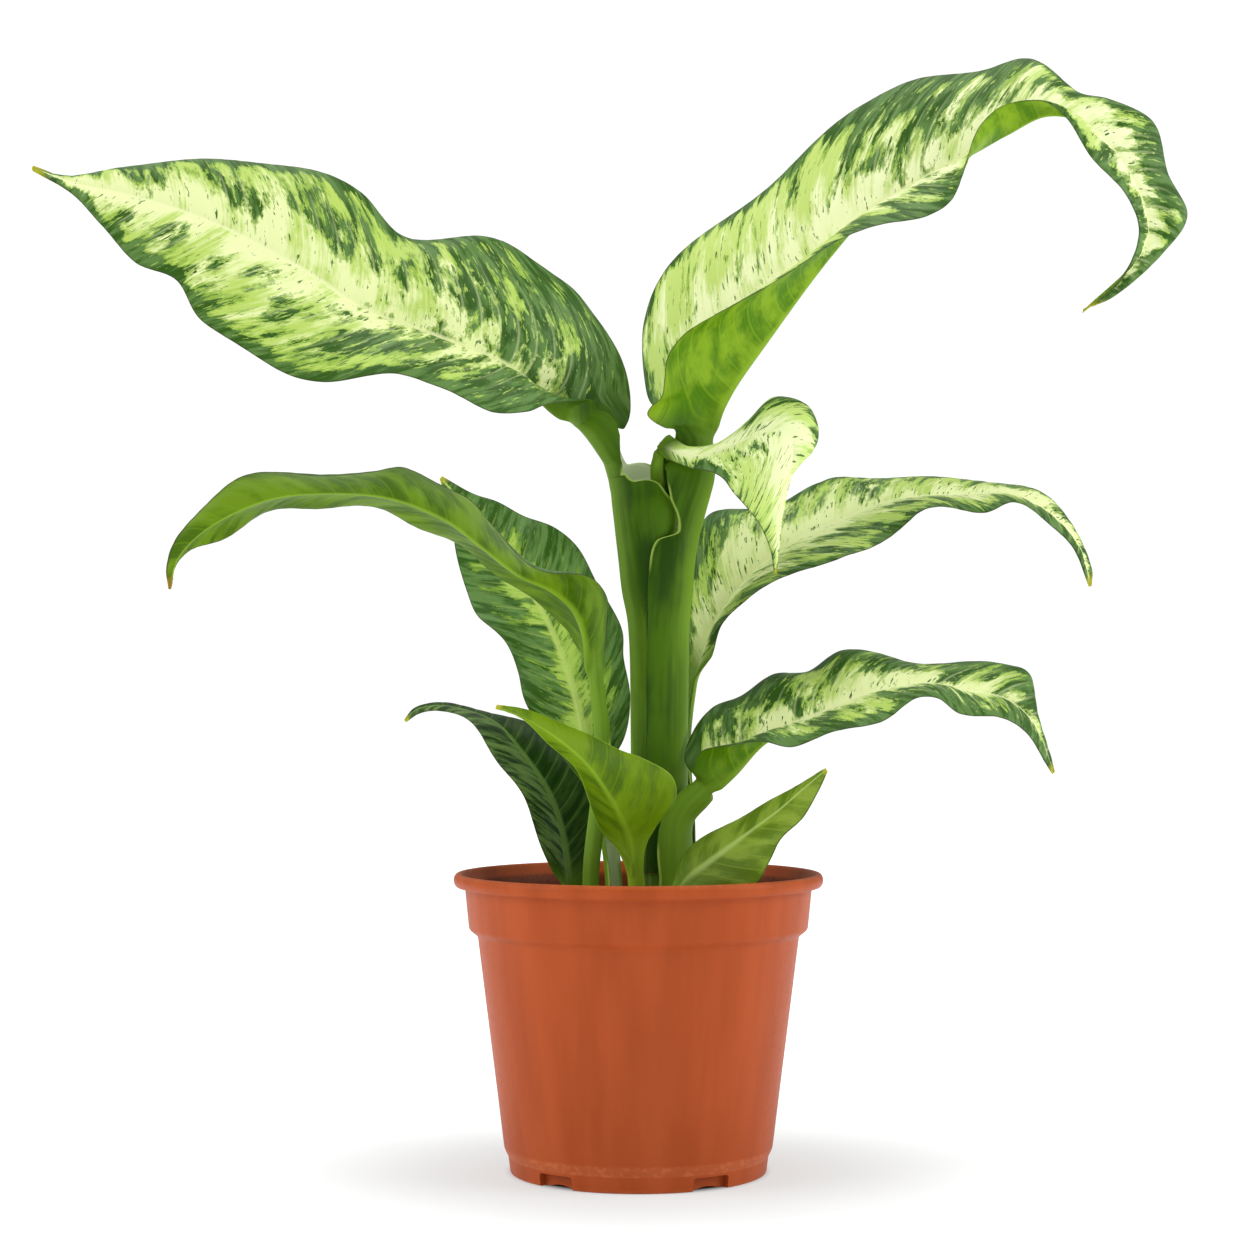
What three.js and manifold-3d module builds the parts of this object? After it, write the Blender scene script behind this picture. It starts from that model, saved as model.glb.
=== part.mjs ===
// A potted dieffenbachia: ten leaves and a cane in soil, in a thin plastic nursery pot.
// Millimetres, +Z up. The origin is the middle of the pot's underside, and -Y is the front.
import * as THREE from "three";
import { mergeVertices } from "three/addons/utils/BufferGeometryUtils.js";
import Module from "manifold-3d";

const wasm = await Module();
wasm.setup();

// ---------------------------------------------------------------- driving dimensions

const POT = {
  rimRadius: 60,
  height: 96.4,
  lipDepth: 4.3,
  collarTopRadius: 56.4,
  collarBottomRadius: 55,
  collarBottom: 78.4,
  bodyTopRadius: 52.2,
  bodyTop: 76.2,
  bodyBottomRadius: 43.5,
  bodyBottom: 7.8,
  footTopRadius: 42.2,
  footTop: 5.3,
  footRadius: 41.5,
  footWidth: 2.4,
  wall: 1.2,
  padRadius: 10,
  floorUnderside: 2.2,
  floorTop: 3.6,
  notches: 5,
  firstNotch: -39,
  notchAngle: 18,
  notchHeight: 4.3,
  drainRadius: 3,
  drainRing: 25,
  sides: 48,
};
const SOIL = { edge: 83, mound: 2.5, ripple: 0.5, clearance: 0.35 };
const CANE = {
  x: 6.9,
  y: 3,
  radius: 7.7,
  bottom: 60,
  top: 186,
  firstScar: 80,
  scarEvery: 17,
  scarHeight: 0.35,
};
const SHEATH_RADIUS = 9.4;
const LOW_SHEATH = { radius: 11.9, foot: 76 };

// The plant is laid out as it looks from in front: from an eye this far before the pot's axis and
// this high, a point at (x, z) on the upright plane through the axis moves along its line of sight.
const EYE = new THREE.Vector3(-3.7, -865, 157.4);

const BLADE = {
  largeStations: 22,
  smallStations: 15,
  stationPower: 1.15,
  stalkSteps: 2,
  columns: [0, 0.1, 0.34, 0.68, 1],
  halfThickness: 0.32,
  stalkMargin: 0.65,
  ribRise: 1.3,
  joinLength: 6,
};

const COLOURS = {
  terracotta: 0xb0542f,
  soil: 0x33251a,
  cane: 0x4f7a17,
  variegated: 0x86b457,
  plain: 0x5b8a2b,
  young: 0x9dc06a,
};

// ---------------------------------------------------------------- small tools

const radians = THREE.MathUtils.degToRad;

// A point seen at (x, z), lying depth behind the upright plane through the pot's axis
function seen(x, z, depth) {
  const onPlane = new THREE.Vector3(x, 0, z);
  return onPlane.sub(EYE).multiplyScalar((depth - EYE.y) / -EYE.y).add(EYE);
}

// A line of points swung off towards its tip: the tip moves this far back along its line of sight,
// the first point stays, and the rest follow by their distance along the line
function swung(points, tipDepth) {
  const walked = [0];
  for (let i = 1; i < points.length; i += 1) {
    walked.push(walked[i - 1] + points[i].distanceTo(points[i - 1]));
  }
  return points.map((point, i) => {
    const depth = (tipDepth * walked[i]) / walked.at(-1);
    return point.clone().sub(EYE).multiplyScalar(1 + depth / (point.y - EYE.y)).add(EYE);
  });
}

// A point on a circle round the cane, at an azimuth in degrees: 0 is +X and -90 is the front
function byCane(azimuth, z, radius = SHEATH_RADIUS) {
  const angle = radians(azimuth);
  return new THREE.Vector3(CANE.x + radius * Math.cos(angle), CANE.y + radius * Math.sin(angle), z);
}

function material(colour, roughness) {
  return new THREE.MeshStandardMaterial({ color: colour, roughness, metalness: 0, side: THREE.DoubleSide });
}

function namedMesh(name, geometry, colour, roughness) {
  const mesh = new THREE.Mesh(geometry, material(colour, roughness));
  mesh.name = name;
  return mesh;
}

function toSolid(geometry) {
  const bare = geometry.clone();
  bare.deleteAttribute("normal");
  bare.deleteAttribute("uv");
  const merged = mergeVertices(bare, 1e-4);
  return new wasm.Manifold(
    new wasm.Mesh({
      numProp: 3,
      vertProperties: new Float32Array(merged.attributes.position.array),
      triVerts: new Uint32Array(merged.index.array),
    }),
  );
}

function toGeometry(solid) {
  const mesh = solid.getMesh();
  const geometry = new THREE.BufferGeometry();
  geometry.setAttribute("position", new THREE.BufferAttribute(mesh.vertProperties, 3));
  geometry.setIndex(new THREE.BufferAttribute(mesh.triVerts, 1));
  geometry.computeVertexNormals();
  return geometry;
}

// A turned body with its axis on +Z, from a profile of [radius, z] that starts and ends on the axis
function turned(profile, sides) {
  const points = profile.map(([radius, z]) => new THREE.Vector2(radius, z));
  const geometry = new THREE.LatheGeometry(points, sides);
  return geometry.rotateX(Math.PI / 2);
}

function uprightCylinder(radius, bottom, top, x, y, sides = 14) {
  const geometry = new THREE.CylinderGeometry(radius, radius, top - bottom, sides);
  return geometry.rotateX(Math.PI / 2).translate(x, y, (bottom + top) / 2);
}

// ---------------------------------------------------------------- pot and soil

function potProfile() {
  const p = POT;
  const lipBottom = p.height - p.lipDepth;
  return [
    [0, 0],
    [p.padRadius, 0],
    [p.padRadius + 1, p.floorUnderside],
    [p.footRadius - p.footWidth - 0.8, p.floorUnderside],
    [p.footRadius - p.footWidth, 0],
    [p.footRadius, 0],
    [p.footTopRadius, p.footTop],
    [p.bodyBottomRadius, p.bodyBottom],
    [p.bodyTopRadius, p.bodyTop],
    [p.collarBottomRadius, p.collarBottom],
    [p.collarTopRadius, lipBottom],
    [p.rimRadius - 0.9, lipBottom],
    [p.rimRadius, lipBottom + 1.2],
    [p.rimRadius, p.height - 1.2],
    [p.rimRadius - 0.9, p.height],
    [p.rimRadius - 2.2, p.height],
    [p.collarTopRadius - p.wall, lipBottom - 0.6],
    [p.collarBottomRadius - p.wall, p.collarBottom + 0.5],
    [p.bodyTopRadius - p.wall, p.bodyTop + 0.5],
    [p.bodyBottomRadius - p.wall, p.bodyBottom + 0.5],
    [p.footTopRadius - 1.6, p.footTop + 0.5],
    [p.footTopRadius - 2, p.floorTop],
    [0, p.floorTop],
  ];
}

function pot() {
  let solid = toSolid(turned(potProfile(), POT.sides));
  for (let i = 0; i < POT.notches; i += 1) {
    const angle = radians(POT.firstNotch - 90 + (i * 360) / POT.notches);
    const width = 2 * POT.footTopRadius * Math.sin(radians(POT.notchAngle / 2));
    const notch = new THREE.BoxGeometry(8, width, 2 * POT.notchHeight);
    notch.translate(POT.footTopRadius + 0.6, 0, 0).rotateZ(angle);
    solid = solid.subtract(toSolid(notch));
    const x = POT.drainRing * Math.cos(angle);
    const y = POT.drainRing * Math.sin(angle);
    solid = solid.subtract(toSolid(uprightCylinder(POT.drainRadius, -1, 6, x, y, 14)));
  }
  return namedMesh("pot", toGeometry(solid), COLOURS.terracotta, 0.45);
}

function soilProfile() {
  const gap = SOIL.clearance + POT.wall;
  const profile = [
    [0, POT.floorTop + SOIL.clearance],
    [POT.footTopRadius - 2.6, POT.floorTop + SOIL.clearance],
    [POT.footTopRadius - 2.2, POT.footTop + 0.6],
    [POT.bodyBottomRadius - gap, POT.bodyBottom + 0.8],
    [POT.bodyTopRadius - gap, POT.bodyTop + 0.8],
    [POT.collarBottomRadius - gap, POT.collarBottom + 0.8],
    [POT.collarBottomRadius - gap + 0.2, SOIL.edge],
  ];
  const edge = POT.collarBottomRadius - gap + 0.2;
  for (const share of [0.86, 0.7, 0.54, 0.38, 0.22, 0]) {
    profile.push([share * edge, SOIL.edge + SOIL.mound * (1 - share * share)]);
  }
  return profile;
}

// The soil's top is lumpy: every point above its edge is lifted by two crossed waves
function lump(x, y) {
  return SOIL.ripple * (Math.sin(0.31 * x + 1.3) * Math.cos(0.27 * y) + Math.sin(0.53 * y - 0.4 * x));
}

function soil(leaves) {
  const geometry = turned(soilProfile(), 30);
  const place = geometry.attributes.position;
  for (let i = 0; i < place.count; i += 1) {
    if (place.getZ(i) > SOIL.edge + 0.01) {
      place.setZ(i, place.getZ(i) + lump(place.getX(i), place.getY(i)));
    }
  }
  let solid = toSolid(geometry);
  const open = SOIL.edge + 20;
  const wellFloor = LOW_SHEATH.foot - SOIL.clearance;
  const well = uprightCylinder(LOW_SHEATH.radius + 0.5, wellFloor, open, CANE.x, CANE.y, 28);
  const caneFloor = CANE.bottom - SOIL.clearance;
  const caneHole = uprightCylinder(CANE.radius + 0.4, caneFloor, open, CANE.x, CANE.y, 24);
  solid = solid.subtract(toSolid(well)).subtract(toSolid(caneHole));
  for (const leaf of leaves.filter((each) => each.ownHole)) {
    const foot = leaf.stalk[0];
    const inward = new THREE.Vector3(-Math.cos(radians(leaf.outward)), -Math.sin(radians(leaf.outward)), 0);
    const middle = foot.at.clone().addScaledVector(inward, foot.radius);
    const floor = foot.at.z - SOIL.clearance;
    const hole = uprightCylinder(foot.radius + 1.9, floor, open, middle.x, middle.y);
    solid = solid.subtract(toSolid(hole));
  }
  return namedMesh("soil", toGeometry(solid), COLOURS.soil, 0.95);
}

// The cane is a plain tapering rod with a low ring at each old leaf scar
function cane() {
  const profile = [[0, CANE.bottom], [CANE.radius - 1, CANE.bottom], [CANE.radius, CANE.bottom + 2]];
  const neck = CANE.radius - CANE.scarHeight;
  for (let z = CANE.firstScar; z < CANE.top - 4; z += CANE.scarEvery) {
    profile.push([neck, z - 1.5], [CANE.radius, z], [neck, z + 1]);
  }
  profile.push([CANE.radius - 2, CANE.top - 1], [0, CANE.top]);
  const geometry = toGeometry(toSolid(turned(profile, 20)));
  geometry.translate(CANE.x, CANE.y, 0);
  return namedMesh("cane", geometry, COLOURS.cane, 0.5);
}

// ---------------------------------------------------------------- leaves

// One section of a stalk: its back point, the channel's radius, and how far its two wings wrap
function section(at, radius, left, right) {
  return { at, radius, left, right };
}

const LEAVES = [
  {
    name: "leaf_upper_left",
    colour: COLOURS.variegated,
    outward: 180,
    core: 0.7,
    stalk: [
      section(byCane(180, 97), SHEATH_RADIUS, 60.5, 88),
      section(byCane(180, 140), SHEATH_RADIUS, 60.3, 88),
      section(seen(-3.4, 177, 3), SHEATH_RADIUS, 68, 88),
      section(seen(-5.4, 188, 3), 9.6, 88, 85),
      section(seen(-6.5, 198, 3), 10, 104, 84),
      section(seen(-7.4, 205.6, 3), 10.4, 160, 86),
      section(seen(-8, 211, 3), 11, 158, 96),
      section(seen(-8.6, 216, 3), 10.6, 145, 112),
      section(seen(-9, 220, 3), 10.2, 126, 124),
      section(seen(-9.3, 221.4, 3), 10, 84, 129),
      section(seen(-9.6, 223.2, 3), 10, 70, 130),
      section(seen(-9.9, 224.7, 3), 9.9, 64, 125),
      section(seen(-10.4, 226.4, 2.7), 9.7, 64, 78),
      section(seen(-11.6, 230.2, 2), 8.6, 76, 72),
      section(seen(-14.6, 234.8, 0), 8, 109, 84),
      section(seen(-20.9, 242.4, -2), 9.6, 115, 80),
    ],
    midrib: [
      seen(-29.5, 248.6, -6), seen(-42, 261, -13), seen(-68.5, 272.2, -22), seen(-87, 279, -27),
      seen(-112, 294.5, -31), seen(-140, 309, -33), seen(-166, 317.5, -34), seen(-185, 321.8, -36),
      seen(-198.5, 326.7, -38),
    ],
    right: [
      seen(-9.6, 235.6, 4), seen(-6.6, 238.6, 5), seen(-4.3, 241.6, 6), seen(-2.7, 245.6, 7.5),
      seen(-2.5, 253.5, 9), seen(-5, 263, 10), seen(-15, 278, 10), seen(-22.5, 288.5, 8),
      seen(-38.8, 299.5, 4), seen(-51, 303.2, -1), seen(-76, 305, -6),
      seen(-92, 318.3, -9), seen(-109, 326.8, -14), seen(-140, 329, -20), seen(-168, 327.3, -27),
      seen(-188, 323.7, -34), seen(-198, 327.4, -38),
    ],
    left: [
      seen(-12.5, 250.4, -10), seen(-20, 250.3, -20), seen(-30, 249.2, -32), seen(-36.5, 246.8, -38),
      seen(-48.6, 246, -43), seen(-64, 255.2, -47), seen(-77, 259.2, -50),
      seen(-102, 256.2, -52), seen(-123, 264, -51), seen(-142.8, 276, -49), seen(-151, 290.5, -46),
      seen(-164.6, 295.3, -44), seen(-175.7, 307.7, -42), seen(-185, 318, -39), seen(-198.3, 325.6, -38),
    ],
    wave: { height: 1.6, count: 5, phase: 0.4 },
    swing: -22,
    bulge: 0.07,
  },
  {
    name: "leaf_upper_right",
    colour: COLOURS.variegated,
    outward: 0,
    core: 0.7,
    stalk: [
      section(byCane(0, 97), SHEATH_RADIUS, 89, 117),
      section(byCane(0, 140), SHEATH_RADIUS, 89, 117),
      section(seen(16.8, 177, 3), 10, 86, 113),
      section(seen(17.9, 190, 3), 11.5, 72, 107),
      section(seen(18.5, 197, 3), 11.5, 70, 107),
      section(seen(19.2, 202, 3), 11, 88, 103),
      section(seen(19.9, 205.6, 3), 8.8, 104, 80),
      section(seen(21.2, 210.4, 3), 8.8, 106, 92),
      section(seen(22.3, 214.6, 3), 9.3, 106, 110),
      section(seen(23.7, 219.6, 3), 10, 106, 120),
      section(seen(24.9, 224.6, 3), 10.2, 104, 125),
      section(seen(25.1, 230, 3), 9.4, 92, 124),
      section(seen(24.4, 237, 2.6), 7.8, 84, 115),
    ],
    midrib: [
      seen(25.4, 244, 2.2), seen(29.2, 252.5, 2.6), seen(43.7, 273, 6), seen(63, 298.5, 10),
      seen(75, 311.5, 11),
      seen(96, 324.7, 9), seen(109.2, 331.5, 6), seen(120.6, 337.7, 3), seen(133, 343.8, 0),
      seen(142.8, 343, -2), seen(151, 337.5, -3), seen(160, 326.5, -4), seen(165.6, 313.9, -5),
      seen(166.6, 304, -6), seen(162.3, 295.4, -7), seen(145.4, 279.7, -8),
    ],
    right: [
      seen(14.5, 238.5, -5), seen(9.5, 241, -7), seen(5, 243.4, -9), seen(2.8, 245.8, -11),
      seen(4, 248.4, -12.5), seen(7.4, 251.5, -13.5), seen(8.4, 257, -14), seen(9.6, 264, -15),
      seen(14.5, 270.8, -16.5), seen(24.8, 277.8, -18), seen(49.2, 292.7, -17),
      seen(78.2, 307.7, -15), seen(94.2, 311.7, -16),
      seen(102, 316, -16), seen(106.5, 324, -14), seen(112.5, 341, -9), seen(120, 348.3, -7),
      seen(133, 349, -8), seen(139.5, 343.5, -9), seen(147.7, 330.2, -12), seen(159.7, 318.2, -14),
      seen(164, 306, -13), seen(157.8, 290.1, -10), seen(145.2, 278.9, -8),
    ],
    left: [
      seen(18.5, 241.5, 8), seen(11.5, 245, 12), seen(4.5, 249, 15.5), seen(2, 257, 18.5),
      seen(1.6, 276, 23), seen(9.8, 293.4, 26), seen(45.6, 323.7, 29), seen(73.7, 347.2, 28),
      seen(90.6, 356.6, 25), seen(113, 358.3, 20), seen(129, 361.6, 14), seen(144.7, 351.8, 9),
      seen(154.2, 350, 6), seen(168.5, 342, 4), seen(173, 324.5, 0), seen(179.6, 311, -3),
      seen(171.8, 298.6, -6), seen(154.2, 283.6, -8), seen(145.6, 280.5, -8),
    ],
    wave: { height: 1.2, count: 5, phase: 1.1 },
    swing: 18,
    bulge: 0.07,
  },
  {
    name: "leaf_new",
    small: true,
    colour: COLOURS.young,
    outward: 150,
    core: 1.4,
    stalk: [
      section(new THREE.Vector3(2.6, 5.2, CANE.top + SOIL.clearance), 4.2, 150, 150),
      section(new THREE.Vector3(3.2, 5.2, 200), 4.4, 150, 150),
      section(new THREE.Vector3(4.2, 5.2, 214), 4, 150, 150),
      section(new THREE.Vector3(4.4, 4, 224), 3.4, 140, 140),
      section(new THREE.Vector3(4.6, 0.5, 231), 2.8, 125, 125),
    ],
    midrib: [
      seen(7.6, 234.8, -4.6), seen(12, 233.6, -8.6), seen(19, 232.3, -12), seen(31, 235.6, -13.5),
      seen(41.7, 240, -14.5), seen(48.9, 240, -16), seen(50.3, 232.4, -18), seen(48.2, 222.7, -18),
      seen(46, 209.6, -17), seen(44.7, 194, -16),
    ],
    right: [
      seen(7, 232, -5), seen(11, 230.6, -8.5), seen(17.6, 228.2, -13.5), seen(27, 225.3, -20),
      seen(31.3, 220, -23), seen(36.2, 213.9, -24), seen(40.1, 209, -22), seen(43, 202, -19),
      seen(44.3, 193.6, -16),
    ],
    left: [
      seen(5.5, 236.5, -1.5), seen(8.5, 239.8, -3), seen(12.4, 237.6, -6.4), seen(17, 235.2, -10),
      seen(28, 237, -9.5), seen(38.1, 245.2, -4), seen(44.3, 251, -3), seen(55, 249, -6),
      seen(59, 241, -9), seen(57.4, 234.4, -12), seen(50.5, 228.9, -14), seen(47.2, 215, -15),
      seen(45.1, 193.6, -16),
    ],
    wave: { height: 0.5, count: 3, phase: 0.2 },
    swing: -4,
    bulge: 0.08,
  },
  {
    name: "leaf_middle_left",
    colour: COLOURS.plain,
    outward: 190,
    core: 1.8,
    ownHole: true,
    stalk: [
      section(seen(-18, 78, -6), 4.2, 95, 95),
      section(seen(-18, 98, -7), 4.3, 95, 95),
      section(seen(-15.4, 122, -8), 4.6, 95, 95),
      section(seen(-14.4, 140, -8), 4.6, 90, 90),
      section(seen(-16, 158, -8), 4.4, 85, 85),
    ],
    midrib: [
      seen(-16.8, 172, -9), seen(-20.5, 182, -12), seen(-28, 188.6, -16), seen(-39.4, 194, -20),
      seen(-52.2, 203.8, -24), seen(-63, 211.6, -27), seen(-82, 218.7, -31), seen(-103.7, 220.1, -35),
      seen(-121.6, 217.8, -38), seen(-140.8, 208.5, -40), seen(-150.5, 198.5, -41),
      seen(-152.8, 188.8, -41),
    ],
    right: [
      seen(-18.8, 166, -4), seen(-22.5, 174.5, 0), seen(-30, 181.3, 2), seen(-39.4, 189, 1),
      seen(-59.7, 202.8, -5), seen(-78.2, 212.6, -11), seen(-89.7, 214.8, -15), seen(-103.7, 216, -19),
      seen(-121.6, 212.9, -25), seen(-136.3, 205, -31), seen(-146.4, 201, -36), seen(-151.6, 195, -39),
      seen(-152.4, 188.6, -41),
    ],
    left: [
      seen(-11.5, 166, -12), seen(-10.2, 176, -19), seen(-10.2, 185.8, -26), seen(-15.6, 191.7, -31),
      seen(-31.9, 195.6, -38), seen(-49.2, 209.6, -43), seen(-56.5, 219, -46), seen(-75.6, 227.9, -50),
      seen(-87, 225.8, -52), seen(-114.8, 227, -54), seen(-129.4, 224.7, -53), seen(-140.8, 216.8, -50),
      seen(-151, 205, -46), seen(-154, 195, -42), seen(-153.3, 188.6, -41),
    ],
    wave: { height: 1.2, count: 5, phase: 2 },
    swing: -36,
    bulge: 0.08,
  },
  {
    name: "leaf_middle_left_back",
    small: true,
    colour: COLOURS.variegated,
    outward: 145,
    core: 1.6,
    ownHole: true,
    stalk: [
      section(seen(-9.5, 78, 10), 3.6, 90, 90),
      section(seen(-10.5, 98, 12), 3.6, 90, 90),
      section(seen(-13.5, 118, 14), 3.8, 90, 90),
    ],
    midrib: [
      seen(-16.5, 134, 16), seen(-21, 155, 20), seen(-28, 174.7, 25), seen(-36, 189, 29),
      seen(-45.6, 202, 33), seen(-55.4, 214.5, 37), seen(-64.5, 225, 41),
    ],
    right: [
      seen(-12.5, 129, 18), seen(-5, 139, 19), seen(-2.6, 153, 20), seen(-4.9, 167, 21),
      seen(-5.5, 176, 22), seen(-13, 189.7, 26), seen(-20.2, 203, 29), seen(-26.7, 208.3, 31),
      seen(-36.8, 212.2, 34), seen(-46, 217.4, 37), seen(-53.8, 219.8, 39), seen(-64.1, 225.6, 41),
    ],
    left: [
      seen(-18.5, 126, 12), seen(-27, 137, 15), seen(-36.5, 150.9, 19), seen(-39.4, 162, 22),
      seen(-43.4, 171.5, 25), seen(-52.5, 180, 29), seen(-56.5, 189, 32), seen(-59.7, 202.5, 36),
      seen(-61, 213, 39), seen(-64.9, 224.6, 41),
    ],
    wave: { height: 1.4, count: 4, phase: 0.9 },
    swing: 30,
    bulge: -0.05,
  },
  {
    name: "leaf_middle_right",
    colour: COLOURS.variegated,
    outward: 37,
    core: 1.2,
    stalk: [
      section(byCane(37, LOW_SHEATH.foot, LOW_SHEATH.radius), LOW_SHEATH.radius, 40, 40),
      section(byCane(37, 92, LOW_SHEATH.radius), LOW_SHEATH.radius, 40, 40),
      section(byCane(37, 112, LOW_SHEATH.radius + 0.6), 9, 48, 48),
      section(new THREE.Vector3(16.6, 14.4, 138), 3.8, 85, 85),
      section(seen(18.6, 158, 17), 3.1, 85, 85),
    ],
    midrib: [
      seen(20.6, 167, 18.5), seen(25.4, 178, 20), seen(33.3, 190, 21), seen(43, 199, 23),
      seen(55.4, 206.4, 24),
      seen(66.8, 211.2, 25), seen(78.2, 216, 25), seen(91.3, 218.7, 24), seen(106, 219.4, 23),
      seen(119, 219.7, 22), seen(130.4, 216, 21), seen(138.6, 209.6, 20), seen(144.4, 201.5, 19),
      seen(147.4, 189.7, 18),
    ],
    left: [
      seen(16.6, 165, 20), seen(15.4, 180.5, 24), seen(16.5, 194, 29), seen(23.5, 212.7, 36),
      seen(46.9, 216.8, 42), seen(58.4, 222.3, 44), seen(66, 225.6, 44), seen(90.6, 224.6, 42),
      seen(113.1, 224, 38), seen(130.7, 220.3, 33), seen(141.5, 209.5, 27), seen(147.9, 195, 20),
      seen(147.9, 189.6, 18),
    ],
    right: [
      seen(22.4, 161.8, 14.5), seen(24.3, 167.5, 12), seen(27.2, 177.5, 8), seen(34.6, 184.3, 4),
      seen(52.2, 195, 0),
      seen(66.5, 198.5, -1), seen(75, 201, 0), seen(87, 210.6, 2), seen(93, 214, 3),
      seen(113.1, 214.5, 7), seen(122.3, 216.8, 10), seen(132.7, 210.9, 13), seen(141.2, 203.4, 16),
      seen(147, 189.4, 18),
    ],
    wave: { height: 1.2, count: 5, phase: 0.3 },
    swing: 36,
    bulge: 0.07,
  },
  {
    name: "leaf_lower_right",
    colour: COLOURS.variegated,
    outward: -53,
    core: 1.2,
    stalk: [
      section(byCane(-53, LOW_SHEATH.foot, LOW_SHEATH.radius), LOW_SHEATH.radius, 38, 38),
      section(byCane(-53, 95, LOW_SHEATH.radius), LOW_SHEATH.radius, 38, 38),
      section(seen(15.5, 113, -8), 6.6, 70, 70),
      section(seen(22.3, 121, -9), 4.6, 60, 95),
    ],
    midrib: [
      seen(31, 128.8, -9), seen(40, 138.3, -8), seen(49, 143.8, -6), seen(59, 147.7, -4),
      seen(70, 152.6, -2), seen(83, 156.5, 0), seen(96.2, 157.5, 2), seen(109.2, 155.2, 3),
      seen(120, 152.6, 3), seen(127.5, 146.5, 2), seen(131.6, 138.9, 1), seen(135.3, 128.8, 0),
    ],
    left: [
      seen(21.5, 124.2, -4), seen(17.5, 128.5, -4), seen(14.9, 133.5, -4), seen(17.6, 142.5, -0.5),
      seen(24, 149.5, 6), seen(33.6, 153.2, 13),
      seen(44, 161.7, 19), seen(55.4, 162.3, 21), seen(66, 167.5, 23), seen(78.2, 167.6, 24),
      seen(90, 165.3, 24), seen(118.3, 163.8, 19), seen(127.5, 161.5, 13), seen(130.4, 146, 6),
      seen(135.7, 129.3, 0),
    ],
    right: [
      seen(17, 124, -12.5), seen(17.6, 129.5, -15), seen(20.5, 135.5, -18), seen(31.9, 137.6, -22),
      seen(40.4, 139.5, -24),
      seen(50.2, 137.8, -25), seen(64.9, 141.5, -25), seen(78.9, 146.4, -23), seen(90.3, 152.6, -20),
      seen(97.5, 152, -19), seen(104, 148.2, -17), seen(117.4, 147.4, -13), seen(126, 141.8, -8),
      seen(134.8, 128.4, 0),
    ],
    wave: { height: 1.2, count: 4, phase: 2.4 },
    swing: -12,
    bulge: 0.07,
  },
  {
    name: "leaf_lower_left_back",
    small: true,
    colour: COLOURS.plain,
    outward: 160,
    core: 1.2,
    ownHole: true,
    stalk: [
      section(seen(-22, 78, 14), 3, 85, 85),
      section(seen(-22.5, 86, 15), 3, 85, 85),
    ],
    midrib: [
      seen(-23, 95, 16), seen(-25, 109, 18), seen(-29, 121.5, 20), seen(-38.5, 136, 24),
      seen(-46, 144.5, 27), seen(-54, 148.5, 29), seen(-65.2, 150.6, 31), seen(-72.4, 149.2, 32),
      seen(-76, 145.7, 32),
    ],
    right: [
      seen(-17.5, 92, 18.5), seen(-11.5, 106, 22.5), seen(-9.5, 118.5, 26), seen(-13, 129, 29.5),
      seen(-22.5, 138, 33), seen(-34, 144.2, 35), seen(-46.5, 147.6, 35.5), seen(-62.9, 151.6, 34),
      seen(-73, 149.8, 33), seen(-76.3, 146.2, 32),
    ],
    left: [
      seen(-26, 92.5, 13), seen(-31.3, 103.7, 10), seen(-36.8, 120, 10), seen(-45, 131, 13),
      seen(-52, 142.5, 17), seen(-57.5, 146.8, 21), seen(-66.2, 149.2, 27), seen(-71.7, 148, 30),
      seen(-75.6, 145.3, 32),
    ],
    wave: { height: 0.6, count: 3, phase: 0.5 },
    swing: 20,
    bulge: 0.06,
  },
  {
    name: "leaf_front_left",
    small: true,
    colour: COLOURS.plain,
    outward: -110,
    core: 1.6,
    ownHole: true,
    stalk: [
      section(seen(-1, 78, -20), 2.8, 85, 85),
      section(seen(-1.6, 94, -21), 2.8, 85, 85),
    ],
    midrib: [
      seen(-3.3, 106.5, -22.5), seen(-6.5, 115, -24.5), seen(-11.3, 123.2, -27), seen(-18, 132, -30),
      seen(-26.1, 139.2, -33), seen(-36, 145.6, -37), seen(-46.3, 150.3, -41),
    ],
    left: [
      seen(0, 103.5, -19.5), seen(6, 111.8, -17), seen(12, 120.5, -16), seen(11, 127.5, -16.5),
      seen(2.6, 133, -17.5), seen(-6.8, 136.6, -19), seen(-16.3, 141.2, -22), seen(-31.3, 147.7, -30),
      seen(-38.5, 149.8, -35), seen(-46, 151, -41),
    ],
    right: [
      seen(-5.5, 104.5, -22), seen(-11, 108.5, -22.5), seen(-14.2, 114, -24), seen(-17.3, 123.6, -27),
      seen(-21, 130.5, -30), seen(-31.6, 140.5, -35), seen(-40, 147.6, -39), seen(-46.6, 149.6, -41),
    ],
    wave: { height: 0.5, count: 3, phase: 0.2 },
    swing: -16,
    bulge: -0.08,
  },
  {
    name: "leaf_front_right",
    small: true,
    colour: COLOURS.plain,
    outward: -60,
    core: 1.4,
    ownHole: true,
    stalk: [
      section(seen(11, 78, -22), 2.6, 80, 80),
      section(seen(12.3, 86.5, -23), 2.6, 80, 80),
    ],
    midrib: [
      seen(16.5, 93.5, -25), seen(24.1, 99.8, -27), seen(34.2, 107.3, -29), seen(45, 115.4, -30),
      seen(53.8, 123.2, -31), seen(61.3, 129.7, -32),
    ],
    right: [
      seen(11.6, 93, -20), seen(13.5, 100, -18), seen(18.9, 106.3, -17), seen(34.9, 115.4, -19),
      seen(47.9, 122.3, -23), seen(56.1, 127.3, -28), seen(61, 130.3, -32),
    ],
    left: [
      seen(19.5, 90, -27), seen(29, 89.5, -33), seen(38.5, 92.3, -37), seen(42.4, 99.8, -39),
      seen(46, 107.3, -39), seen(53.8, 114.1, -37), seen(58.5, 122.3, -34), seen(61.7, 129.2, -32),
    ],
    wave: { height: 0.5, count: 2, phase: 0.7 },
    swing: -12,
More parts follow.
